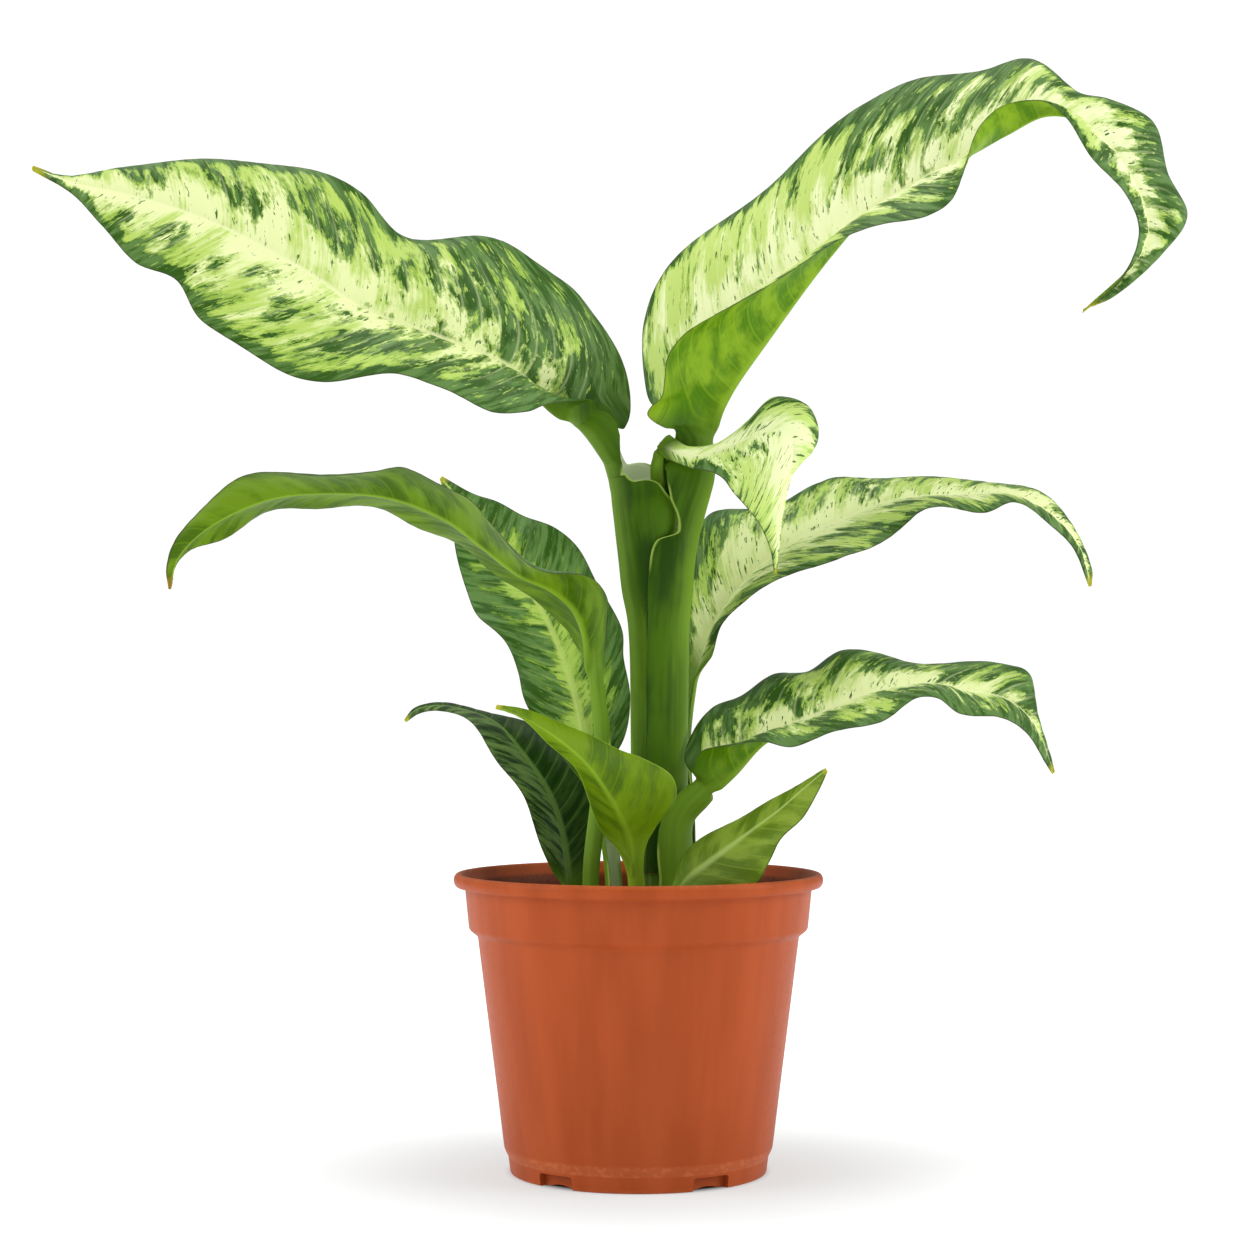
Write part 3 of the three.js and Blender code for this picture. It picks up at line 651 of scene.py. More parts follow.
@dataclass(frozen=True)
class LeafFinish:
    """The colours of one leaf and how they are spread over it."""

    seed: float
    marbling: Marbling = Marbling.CREAM_CENTRE
    dark: Colour = srgb(50, 88, 22)
    # A lighter, greyer dark tone laid at random, partly painted sheen on the glossy dark areas.
    soft_dark_and_sheen: Colour = srgb(94, 130, 66)
    fringe: Colour = srgb(134, 170, 62)
    light: Colour = srgb(180, 208, 98)
    cream: Colour = srgb(230, 240, 174)
    vein: Colour = srgb(236, 243, 186)
    # The underside's colours are brighter than the blade's own, partly painted light for the light that
    # shines through the leaf.
    under: Colour = srgb(76, 122, 0)
    under_light: Colour = srgb(130, 166, 26)
    under_vein: Colour = srgb(136, 172, 36)
    stalk: Colour = srgb(36, 70, 0)
    stalk_light: Colour = srgb(70, 108, 4)
    # Painted light: the stalk is lighter along its back, so the trunk's sides look lit from both sides.
    stalk_back_painted_light: Colour = srgb(120, 158, 38)
    # The pale inside of a sheath, brightened as painted light for the light that shines through the leaf.
    stalk_inside_and_light: Colour = srgb(240, 250, 218)
    # The pale margin of a sheath: a thin line of its own, widened low on the stalk into a painted highlight
    # where the margin curls outwards.
    stalk_margin_and_highlight: Colour = srgb(168, 198, 84)
    rim: Colour = srgb(56, 60, 34)
    tip: Colour = srgb(170, 170, 40)
    clear: float = 0.02
    dark_at: float = 0.0
    dark_reach: float = 0.45
    dark_zone: float = 0.1
    dark_edge: float = 0.17
    dark_tip: float = 0.0
    dots: float = 0.0
    right_half_painted_shade: float = 0.0
    stalk_reach: float = 0.02
    root_reach: float = 0.0
    # How far the margin is widened low on the stalk into a painted highlight.
    open_margin_highlight: float = 0.0
    vein_spacing: float = 6.2
    vein_show: float = 0.3
    rib_width: float = 2.4
    shine: float = 0.13

    # A pair of numbers is a band, where an S-curve starts and where it ends. The first ones are for
    # both sides of the blade: its veins, foot, rim and tip.
    LATERAL_BAND = (0.0, 0.7)
    LATERAL_ENDING = (0.3, 0.9)
    MINORS_TO_A_LATERAL = 4
    MINOR_BAND = (0.0, 0.4)
    RIB_TAPER = 1.1
    RIB_CORE = 0.25
    RIB_SHOW = 0.85
    ROOT_START = 0.6
    ROOT_END = 1.2
    ROOT_BLUR = 0.002
    FOOT_SHOW = 0.8
    RIM_BAND = (0.1, 0.5)
    RIM_SHOW = 0.7
    TIP_BAND = (0.972, 0.995)

    # The relief and the gloss
    PORE_HEIGHT = 0.35
    MINOR_HEIGHT = 0.4
    LATERAL_DEPTH = 0.5
    RELIEF_SCALE = 0.5
    RELIEF_LEVEL = 0.4
    BUMP_DEPTH = 0.16
    BUMP_STRENGTH = 0.5
    ROUGHNESS = 0.46
    UPPER_GLOSS = 0.12
    GLOSS_CHANGE = 0.12

    # The upper side: two dark tones, the softer one partly painted sheen, a right half that painted shade
    # may darken, and on a marbled leaf where it darkens and what flecks it
    TONE_BAND = (0.4, 0.6)
    SHADED_RIGHT_HALF = (-0.4, 0.8)
    EDGE_STRAYING = 9.0
    EDGE_BAND = (4.6, 10.0)
    BESIDE_RIB = (0.08, 0.5)
    RIB_CLEARING = 0.11
    OUTWARD_DARKENING = 0.03
    TOWARDS_TIP = (0.55, 0.9)
    BLOTCH_BAND = (0.5, 0.515)
    FRINGE_BAND = (0.44, 0.48)
    FRINGE_SHOW = 0.8
    STREAK_SHARE = 0.4
    CREAM_LOSS = 0.34
    CREAM_BAND = (0.42, 0.68)
    EDGE_DARK_DASHES = 0.05
    DARK_DASH_BAND = (0.635, 0.655)
    EDGE_LIGHT_DASHES = 0.06
    LIGHT_DASH_BAND = (0.36, 0.38)
    LIGHT_DASH_SHOW = 0.75

    # The underside
    UNDER_BAND = (0.38, 0.64)
    UNDER_LATERALS = 0.4
    UNDER_MINORS = 0.1
    UNDER_RIB = 0.7

    # The stalk, whose places along it are below 0 and count up to the blade's foot
    SKIN_FIBRES = 0.25
    SKIN_BAND = (0.38, 0.62)
    LIT_BACK_BAND = (2.5, 14.0)
    LIT_BACK_FIBRES = 0.6
    INSIDE_ENDING = (-15, -6)
    INSIDE_SHOW = 0.95
    MARGIN_WIDTH = 1.1
    OPEN_ENDING = (-36, -25)
    MARGIN_BAND = (0.3, 1.0)
    MARGIN_START = (-47, -40)
    MARGIN_ENDING = (-21, -17)
    MARGIN_SHOW = 0.75

    def build(self, name: str) -> bpy.types.Material:
        """Makes the leaf's material, which reads the places stored on its mesh.

        Args:
            name: The material's name.

        Returns:
            The material.
        """
        shade = Shading(name)
        here = LeafPlace(shade.attribute("vein_place"), shade.attribute("leaf_zone"))
        half = self.vein_spacing / 2
        laterals = shade.fade(shade.math("PINGPONG", here.vein, half), *self.LATERAL_BAND)
        minors = shade.math("PINGPONG", here.vein, half / self.MINORS_TO_A_LATERAL)
        minors = shade.fade(minors, *self.MINOR_BAND)
        rib = here.far / (self.RIB_TAPER - here.share_along)
        rib = shade.fade(rib, self.RIB_CORE * self.rib_width, self.rib_width)
        top = self._veined_top(shade, here, laterals, rib)
        bottom = self._under_side(shade, here, laterals, minors, rib)
        sides = shade.mix(here.upper, bottom, top)
        colour = shade.mix(here.blade, self._stalk_skin(shade, here), sides)
        rim = shade.fade(here.margin, *self.RIM_BAND) * self.RIM_SHOW
        colour = shade.mix(rim * here.blade, colour, self.rim)
        colour = shade.mix(shade.smooth(here.share_along, *self.TIP_BAND), colour, self.tip)
        relief = (PORES.over(shade, here, self.seed) * self.PORE_HEIGHT
                  + minors * self.MINOR_HEIGHT * here.blade
                  - laterals * self.LATERAL_DEPTH * here.blade * here.upper)
        relief = relief * self.RELIEF_SCALE + self.RELIEF_LEVEL
        roughness = (self.ROUGHNESS - here.upper * self.UPPER_GLOSS * here.blade
                     + GLOSS.over(shade, here, self.seed) * self.GLOSS_CHANGE)
        return shade.finish(
            Base_Color=colour, Roughness=roughness, Specular_IOR_Level=self.shine,
            Normal=shade.bump(relief, self.BUMP_DEPTH, self.BUMP_STRENGTH),
        )

    def _veined_top(self, shade: Shading, here: LeafPlace, laterals: Value,
                    rib: Value) -> bpy.types.NodeSocket:
        """Returns the colour of the blade's upper side with its pale veins, and its root like the stalk.

        Args:
            shade: The tree of the material.
            here: The place on the leaf.
            laterals: 1 on the lateral veins and 0 between them.
            rib: 1 on the midrib and 0 beside it.

        Returns:
            The colour.
        """
        top = self._upper_side(shade, here)
        shown = laterals * shade.fade(here.share, *self.LATERAL_ENDING) * self.vein_show
        top = shade.mix(shown, top, self.vein)
        top = shade.mix(rib * self.RIB_SHOW, top, self.vein)
        root = shade.fade(here.share_along, self.ROOT_START * self.root_reach,
                          self.ROOT_END * self.root_reach + self.ROOT_BLUR)
        return shade.mix(root, top, self.stalk)

    def _upper_side(self, shade: Shading, here: LeafPlace) -> bpy.types.NodeSocket:
        """Returns the colour of the blade's upper side without its veins.

        Args:
            shade: The tree of the material.
            here: The place on the leaf.

        Returns:
            The colour.
        """
        tone = shade.smooth(TONES.over(shade, here, self.seed), *self.TONE_BAND)
        # The softer dark tone is partly painted sheen.
        dark = shade.mix(tone, self.dark, self.soft_dark_and_sheen)
        if self.marbling is Marbling.GREEN:
            # Painted shade: the right half darkens towards the dark tone.
            return shade.mix(shade.smooth(here.reach, *self.SHADED_RIGHT_HALF) * self.right_half_painted_shade, dark, self.dark)
        wander = EDGE_WANDER.over(shade, here, self.seed)
        edge = shade.fade(here.margin + wander * self.EDGE_STRAYING, *self.EDGE_BAND)
        level = self._darkness(shade, here, edge)
        streak = STREAKS.over(shade, here, self.seed)
        creamy = CREAM_CLOUDS.over(shade, here, self.seed) + streak * self.STREAK_SHARE
        creamy = shade.smooth(creamy - here.share * self.CREAM_LOSS, *self.CREAM_BAND)
        bright = shade.mix(creamy, self.light, self.cream)
        bright = shade.mix(shade.smooth(level, *self.FRINGE_BAND) * self.FRINGE_SHOW, bright, self.fringe)
        dash = DASHES.over(shade, here, self.seed)
        dark_dash = shade.smooth(dash + edge * self.EDGE_DARK_DASHES + self.dots, *self.DARK_DASH_BAND)
        light_dash = shade.fade(dash + edge * self.EDGE_LIGHT_DASHES, *self.LIGHT_DASH_BAND)
        blotch = shade.math("MAXIMUM", shade.smooth(level, *self.BLOTCH_BAND), dark_dash)
        flecked = shade.mix(light_dash * self.LIGHT_DASH_SHOW, dark, self.light)
        return shade.mix(blotch, bright, flecked)

    def _darkness(self, shade: Shading, here: LeafPlace, edge: Value) -> Value:
        """Returns a cloudy level that is higher where a marbled leaf has more of its dark blotches.

        Args:
            shade: The tree of the material.
            here: The place on the leaf.
            edge: 1 beside the margins and 0 away from them.

        Returns:
            The level, above which a blotch is dark.
        """
        zone = shade.fade(abs(here.share_along - self.dark_at), 0.0, self.dark_reach)
        beside_rib = shade.smooth(here.share, *self.BESIDE_RIB) - 1
        towards_tip = shade.smooth(here.share_along, *self.TOWARDS_TIP)
        return (BLOTCHES.over(shade, here, self.seed) + edge * self.dark_edge + zone * self.dark_zone
                + towards_tip * self.dark_tip + beside_rib * self.RIB_CLEARING
                + here.share * self.OUTWARD_DARKENING - self.clear)

    def _under_side(self, shade: Shading, here: LeafPlace, laterals: Value, minors: Value,
                    rib: Value) -> bpy.types.NodeSocket:
        """Returns the colour of the blade's underside, with its veins and its foot like the stalk.

        Args:
            shade: The tree of the material.
            here: The place on the leaf.
            laterals: 1 on the lateral veins and 0 between them.
            minors: 1 on the fine veins and 0 between them.
            rib: 1 on the midrib and 0 beside it.

        Returns:
            The colour.
        """
        # The underside is brightened with painted light for light shining through the blade.
        cloud = shade.smooth(UNDER_CLOUDS.over(shade, here, self.seed), *self.UNDER_BAND)
        base = shade.mix(cloud, self.under, self.under_light)
        veins = laterals * self.UNDER_LATERALS + minors * self.UNDER_MINORS
        base = shade.mix(veins, base, self.under_light)
        base = shade.mix(rib * self.UNDER_RIB, base, self.under_vein)
        foot = shade.fade(here.share_along, 0, self.stalk_reach)
        return shade.mix(foot * self.FOOT_SHOW, base, self.stalk)

    def _stalk_skin(self, shade: Shading, here: LeafPlace) -> bpy.types.NodeSocket:
        """Returns the colour of the stalk: a back lightened with painted light, a pale inside brightened
        with painted light, and a thin pale margin widened into a painted highlight.

        Args:
            shade: The tree of the material.
            here: The place on the leaf.

        Returns:
            The colour.
        """
        fibre = STALK_FIBRES.over(shade, here, self.seed)
        cloud = STALK_CLOUDS.over(shade, here, self.seed)
        tone = fibre * self.SKIN_FIBRES + cloud * (1 - self.SKIN_FIBRES)
        skin = shade.mix(shade.smooth(tone, *self.SKIN_BAND), self.stalk, self.stalk_light)
        # Painted light along the stalk's back, for the trunk's lit sides.
        back = shade.fade(here.far, *self.LIT_BACK_BAND) * ((1 - self.LIT_BACK_FIBRES) + fibre * self.LIT_BACK_FIBRES)
        skin = shade.mix(back, skin, self.stalk_back_painted_light)
        # A pale inside, partly painted light for light that shines through the sheath.
        below_blade = shade.fade(here.vein, *self.INSIDE_ENDING)
        skin = shade.mix(here.upper * below_blade * self.INSIDE_SHOW, skin, self.stalk_inside_and_light)
        # The pale margin, widened low on the stalk into a painted highlight.
        width = self.MARGIN_WIDTH + shade.fade(here.vein, *self.OPEN_ENDING) * self.open_margin_highlight
        pale = shade.fade(here.margin / width, *self.MARGIN_BAND)
        pale = pale * shade.smooth(here.vein, *self.MARGIN_START)
        pale = pale * shade.fade(here.vein, *self.MARGIN_ENDING)
        return shade.mix(pale * self.MARGIN_SHOW, skin, self.stalk_margin_and_highlight)


UPPER_LEFT = LeafFinish(seed=1.7, dark_at=0.05, dark_reach=0.6, dark_zone=0.14, clear=0.05,
                        stalk_reach=0.2, open_margin_highlight=2.4)
UPPER_RIGHT = LeafFinish(seed=24.1, dark_at=0.5, dark_reach=0.22, dark_zone=0.15, dark_tip=0.18, clear=0.13,
                         cream=srgb(240, 247, 194), light=srgb(192, 216, 116))
NEW = LeafFinish(seed=47.9, clear=0.155, dark_at=0.4, dark_reach=0.3, dark_zone=0.1, dark_edge=0.1,
                 dots=0.02, rib_width=1.2, cream=srgb(234, 244, 184), light=srgb(194, 220, 118),
                 fringe=srgb(160, 194, 90), stalk_inside_and_light=srgb(64, 104, 18), root_reach=0.12)
MIDDLE_LEFT = LeafFinish(seed=61.3, marbling=Marbling.GREEN, under=srgb(66, 100, 0),
                         under_light=srgb(106, 140, 16), tip=srgb(150, 120, 40))
MIDDLE_LEFT_BACK = LeafFinish(seed=70.2, cream=srgb(166, 196, 86), light=srgb(128, 162, 60),
                              fringe=srgb(102, 138, 42), vein=srgb(180, 204, 106), dark_at=0.5,
                              dark_reach=0.6, clear=0.02)
MIDDLE_RIGHT = LeafFinish(seed=83.6, dark_at=1.0, dark_reach=0.5, dark_zone=0.06, dark_edge=0.12,
                          dots=0.02, clear=0.06, stalk_inside_and_light=srgb(130, 165, 80))
LOWER_RIGHT = LeafFinish(seed=95.5, dark_at=0.9, dark_reach=0.6, dark_zone=0.08, clear=0.02,
                         stalk_inside_and_light=srgb(130, 165, 80))
# Its darker right half is painted shade from the leaf in front of it, and its soft dark tone is partly
# painted sheen.
LOWER_LEFT_BACK = LeafFinish(seed=108.1, marbling=Marbling.GREEN, dark=srgb(26, 58, 8),
                             soft_dark_and_sheen=srgb(104, 134, 66), right_half_painted_shade=0.8, vein=srgb(120, 154, 76),
                             stalk_inside_and_light=srgb(110, 150, 60))
FRONT_LEFT = LeafFinish(seed=113.4, marbling=Marbling.GREEN, under=srgb(72, 104, 0),
                        under_light=srgb(110, 142, 0), dark=srgb(70, 112, 20), soft_dark_and_sheen=srgb(96, 138, 30),
                        rim=srgb(150, 180, 60), stalk=srgb(132, 168, 10), stalk_light=srgb(176, 206, 46))
FRONT_RIGHT = LeafFinish(seed=127.8, marbling=Marbling.GREEN, dark=srgb(102, 128, 28),
                         soft_dark_and_sheen=srgb(140, 161, 56), vein=srgb(170, 196, 90), rib_width=2.6,
                         under=srgb(88, 118, 14), under_light=srgb(134, 160, 52),
                         under_vein=srgb(178, 202, 112))


# ---------------------------------------------------------------------------- leaves


@dataclass(frozen=True)
class Section:
    """One section of a stalk: an open channel with its back on the leaf's centre line.

    Left and right are the degrees that its two wings wrap.
    """

    at: Point
    radius: float
    left: float
    right: float


@dataclass(frozen=True)
class Wave:
    """The waves along both margins of a blade."""

    height: float
    count: int
    phase: float


class Relief(Enum):
    """How strongly the lateral veins pleat a blade, as the height of a pleat in millimetres."""

    LARGE = 0.34
    SMALL = 0.2


@dataclass
class Leaf:
    """A leaf with its stalk: a channel that widens into two wings beside a midrib.

    The midrib and both margins are rows of points as they are seen: x, z and depth.
    """

    name: str
    finish: LeafFinish
    slot: str
    outward: float
    core: float
    stalk: Sequence[Section]
    midrib: Sequence[Point]
    left: Sequence[Point]
    right: Sequence[Point]
    wave: Wave
    swing: float
    bulge: float
    small: bool = False

    # The sheet's thickness, and the midrib under it
    HALF_THICKNESS = 0.32
    EDGE_SHARE = 0.3
    EDGE_START = 0.86
    STALK_MARGIN = 0.65
    STALK_EDGE = 0.4
    RIB_RISE = 1.3
    RIB_SHARE = 0.13
    RIB_FALL = 1.5
    JOIN_LENGTH = 6.0
    BLADE_FINISH_LENGTH = 16

    # The sheet's rows and columns, which lie closer together at the foot and beside the midrib
    STATION_POWER = 1.15
    STALK_STEP = 2.0
    FEWEST_STALK_ROWS = 8
    STATIONS = 260
    SMALL_STATIONS = 170
    COLUMNS = 37
    EVEN_COLUMNS = 0.42
    DRAWN_COLUMNS = 0.58

    # The margins' waves: a lag between the two, and a fade that ends a little before the tip
    WAVE_LAG = 1.7
    WAVE_ENDING = 1.02

    # The lateral veins: how far they lean forward and bend, and how they pleat the blade
    VEIN_SLANT = 0.5
    VEIN_BEND = 0.011
    PLEAT_START = (0.03, 0.25)
    PLEAT_ENDING = (0.7, 1.0)
    PLEAT_LOSS = 0.7
    PLEAT_LEVEL = 0.6
    GROOVE_DEPTH = 0.22
    GROOVE_SHARPNESS = 0.6
    NATURAL_BASE = 2.718
    SHARP_FROM = 50

    def build(self) -> bpy.types.Object:
        """Makes the leaf, pleats it along its veins and dresses it."""
        self._lay_out()
        made = self._sheet()
        tree = GeometryTree(self.name + "_relief", {
            "Vein spacing": self.finish.vein_spacing,
            "Pleat height": (Relief.SMALL if self.small else Relief.LARGE).value * MM,
            "Groove depth": self.GROOVE_DEPTH * MM,
            "Leaf material": self.finish.build(self.name),
        })
        here = LeafPlace(tree.parts(tree.stored("vein_place")), tree.parts(tree.stored("leaf_zone")))
        ridge = abs(tree.math("SINE", here.vein * math.pi / tree.given("Vein spacing")))
        inner = tree.smooth(here.share, *self.PLEAT_START)
        inner = inner * (1 - tree.smooth(here.share, *self.PLEAT_ENDING) * self.PLEAT_LOSS)
        height = (tree.math("SQRT", ridge) - self.PLEAT_LEVEL) * inner * tree.given("Pleat height")
        groove = tree.math("POWER", self.NATURAL_BASE, here.reach * here.reach * -self.GROOVE_SHARPNESS)
        height = height - groove * here.upper * tree.given("Groove depth")
        lift = tree.node("ShaderNodeVectorMath", {"operation": "SCALE"},
                         {0: tree.stored("leaf_up"), "Scale": height * here.blade})
        moved = tree.node("GeometryNodeSetPosition", inputs={0: tree.mesh, "Offset": lift.outputs[0]})
        tree.close(made, tree.dressed(moved.outputs[0], tree.given("Leaf material")))
        made.data.set_sharp_from_angle(angle=math.radians(self.SHARP_FROM))
        return made

    def _lay_out(self) -> None:
        """Works out the leaf's middle surface as rows of points, from the stalk's foot to the tip."""
        stalk_end = len(self.stalk) - 1
        stalk_points = np.array([section.at for section in self.stalk])
        line = SmoothLine(np.vstack([stalk_points, swung(self.midrib, self.swing)]))
        shapes = SmoothLine(np.array([(each.radius, each.left, each.right) for each in self.stalk]))
        blade_place = stalk_end / line.spans
        stalk_length = float(line.walked_to(blade_place))
        blade_length = line.length - stalk_length
        blade_start = stalk_length / line.length
        across = np.linspace(-1.0, 1.0, 2 * self.COLUMNS - 1)
        self._across = across * (self.EVEN_COLUMNS + self.DRAWN_COLUMNS * np.abs(across))

        steps = max(self.FEWEST_STALK_ROWS, round(stalk_length / self.STALK_STEP))
        up_stalk = np.arange(steps) / steps
        places = up_stalk * blade_place
        up_to_blade = line.walked_to(places) - stalk_length
        radius, left, right = shapes.at(up_stalk).T
        stalk_rows = self._channel(line.at(places), line.tangent(places), radius, left, right)

        stations = self.SMALL_STATIONS if self.small else self.STATIONS
        s = (np.arange(stations + 1) / stations) ** self.STATION_POWER
        places = line.place_of(blade_start + s * (1 - blade_start))
        rib, along = line.at(places), line.tangent(places)
        last = self.stalk[-1]
        same = np.ones(stations + 1)
        ending = self._channel(rib, along, last.radius * same, last.left * same, last.right * same)
        join = smoothstep(s * blade_length / self.JOIN_LENGTH)[:, None]
        wings = self._wings(s, rib, along)
        self._rows = np.concatenate([stalk_rows, ending + (wings - ending) * join[..., None]])
        self._share_along = np.concatenate([np.zeros(steps), s])
        on_blade = smoothstep(s * blade_length / self.BLADE_FINISH_LENGTH)
        self._blade = np.concatenate([np.zeros(steps), on_blade])
        self._walked = np.concatenate([up_to_blade, s * blade_length])
        self._thicken(s, steps, join)

    def _thicken(self, s: np.ndarray, steps: int, join: np.ndarray) -> None:
        """Works out how thick the leaf is above and below each point of its middle surface.

        Args:
            s: The share of the blade's length at each of its rows.
            steps: The number of rows on the stalk.
            join: How far each of the blade's rows has changed from stalk to blade.
        """
        t = np.abs(self._across)
        thinning = smoothstep((t - self.EDGE_START) / (1 - self.EDGE_START)) ** 2
        rounding = 1 - (1 - self.EDGE_SHARE) * thinning
        edge = self.STALK_EDGE + (1 - self.STALK_EDGE) * rounding
        stalk_above = self.STALK_MARGIN * edge + self.core * (1 - t**2)
        rib_below = (1 - s[:, None]) ** self.RIB_FALL * self.RIB_RISE * np.exp(-((t / self.RIB_SHARE) ** 2))
        blade_above = stalk_above + (self.HALF_THICKNESS * rounding - stalk_above) * join
        blade_below = join * (self.HALF_THICKNESS * rounding + rib_below)
        self._above = np.concatenate([np.tile(stalk_above, (steps, 1)), blade_above])
        self._below = np.concatenate([np.zeros((steps, len(t))), blade_below])

    def _channel(self, back: np.ndarray, along: np.ndarray, radius: np.ndarray, left: np.ndarray,
                 right: np.ndarray) -> np.ndarray:
        """Returns the rows of a stalk's open channel.

        Args:
            back: The points on its back.
            along: Its direction at each of them.
            radius: Its radius at each of them.
            left: How many degrees its left wing wraps there.
            right: How many degrees its right wing wraps there.

        Returns:
            The points, by row and column.
        """
        azimuth = math.radians(self.outward)
        inward = np.array([-math.cos(azimuth), -math.sin(azimuth), 0.0])
        inward = unit(inward - along * (along @ inward)[:, None])
        rightward = np.cross(along, inward)
        t = self._across
        wrap = np.radians(np.where(t < 0, left[:, None], right[:, None]) * np.abs(t))
        depth = (radius[:, None] * (1 - np.cos(wrap)))[..., None]
        reach = (radius[:, None] * np.sin(wrap) * np.sign(t))[..., None]
        return back[:, None] + inward[:, None] * depth + rightward[:, None] * reach

    def _wings(self, s: np.ndarray, rib: np.ndarray, along: np.ndarray) -> np.ndarray:
        """Returns the rows of the blade's two wings, from the midrib to the margins.

        Args:
            s: The share of the blade's length at each row.
            rib: The points of the midrib there.
            along: The midrib's direction there.

        Returns:
            The points, by row and column.
        """
        edges = [SmoothLine(swung(points, self.swing)) for points in (self.left, self.right)]
        left_edge, right_edge = (edge.at(edge.place_of(s)) for edge in edges)
        upward = unit(np.cross(unit(right_edge - left_edge), along))
        fade = np.sin(math.pi * np.minimum(1, s * self.WAVE_ENDING))
        t = self._across
        share = np.abs(t)
        reach = np.where((t < 0)[:, None], (left_edge - rib)[:, None], (right_edge - rib)[:, None])
        width = np.linalg.norm(reach, axis=-1)
        lag = np.where(t < 0, 0, self.WAVE_LAG)
        turn = 2 * math.pi * self.wave.count * s[:, None] + self.wave.phase + lag
        rise = self.bulge * width * 4 * share * (1 - share)
        rise = rise + self.wave.height * share**2 * fade[:, None] * np.sin(turn)
        return rib[:, None] + reach * share[:, None] + upward[:, None] * rise[..., None]

    def _sheet(self) -> bpy.types.Object:
        """Makes the closed sheet and stores each point's place on the leaf on it."""
        rows = self._rows
        across = np.gradient(rows, axis=1)
        ahead = np.gradient(rows, axis=0)
        upward = unit(np.cross(across, ahead))
        upper = rows + upward * self._above[..., None]
        lower = rows - upward * self._below[..., None]
        count, columns = rows.shape[:2]
        numbers = np.arange(count * columns).reshape(count, columns)
        a, b = numbers[:-1, :-1], numbers[:-1, 1:]
        c, d = numbers[1:, 1:], numbers[1:, :-1]
        below = count * columns
        top = np.stack([a, b, c, d], axis=-1).reshape(-1, 4)
        bottom = np.stack([a, d, c, b], axis=-1).reshape(-1, 4) + below
        round_edge = np.concatenate([numbers[0], numbers[1:, -1], numbers[-1, -2::-1], numbers[-2:0:-1, 0]])
        following = np.roll(round_edge, -1)
        wall = np.stack([following, round_edge, round_edge + below, following + below], axis=-1)
        faces = np.concatenate([top, bottom, wall])
        points = np.concatenate([upper.reshape(-1, 3), lower.reshape(-1, 3)])
        made = new_mesh(self.name + "_piece", points, [tuple(face) for face in faces.tolist()])
        self._store_places(made, upward)
        return made

    def _store_places(self, made: bpy.types.Object, upward: np.ndarray) -> None:
        """Stores what LeafPlace reads on each vertex, and which way is up from the leaf's middle.

        Args:
            made: The leaf.
            upward: The direction out of the upper side, by row and column.
        """
        rows = self._rows
        middle = self.COLUMNS - 1
        steps = np.linalg.norm(np.diff(rows, axis=1), axis=-1)
        walked = np.concatenate([np.zeros((len(rows), 1)), np.cumsum(steps, axis=1)], axis=1)
        reach = walked - walked[:, middle : middle + 1]
        margin = np.minimum(walked, walked[:, -1:] - walked)
        blade = np.broadcast_to(self._blade[:, None], reach.shape)
        slant = self.VEIN_SLANT * np.abs(reach) + self.VEIN_BEND * reach**2
        vein = self._walked[:, None] - slant * blade
        share_along = np.broadcast_to(self._share_along[:, None], reach.shape)
        places = np.stack([vein, reach, share_along], axis=-1)
        upper_zone = np.stack([margin, blade, np.ones_like(reach)], axis=-1)
        lower_zone = np.stack([margin, blade, np.zeros_like(reach)], axis=-1)
        for label, above, below in (("vein_place", places, places), ("leaf_zone", upper_zone, lower_zone),
                                    ("leaf_up", upward, upward)):
            set_vectors(made, label, np.concatenate([above.reshape(-1, 3), below.reshape(-1, 3)]))


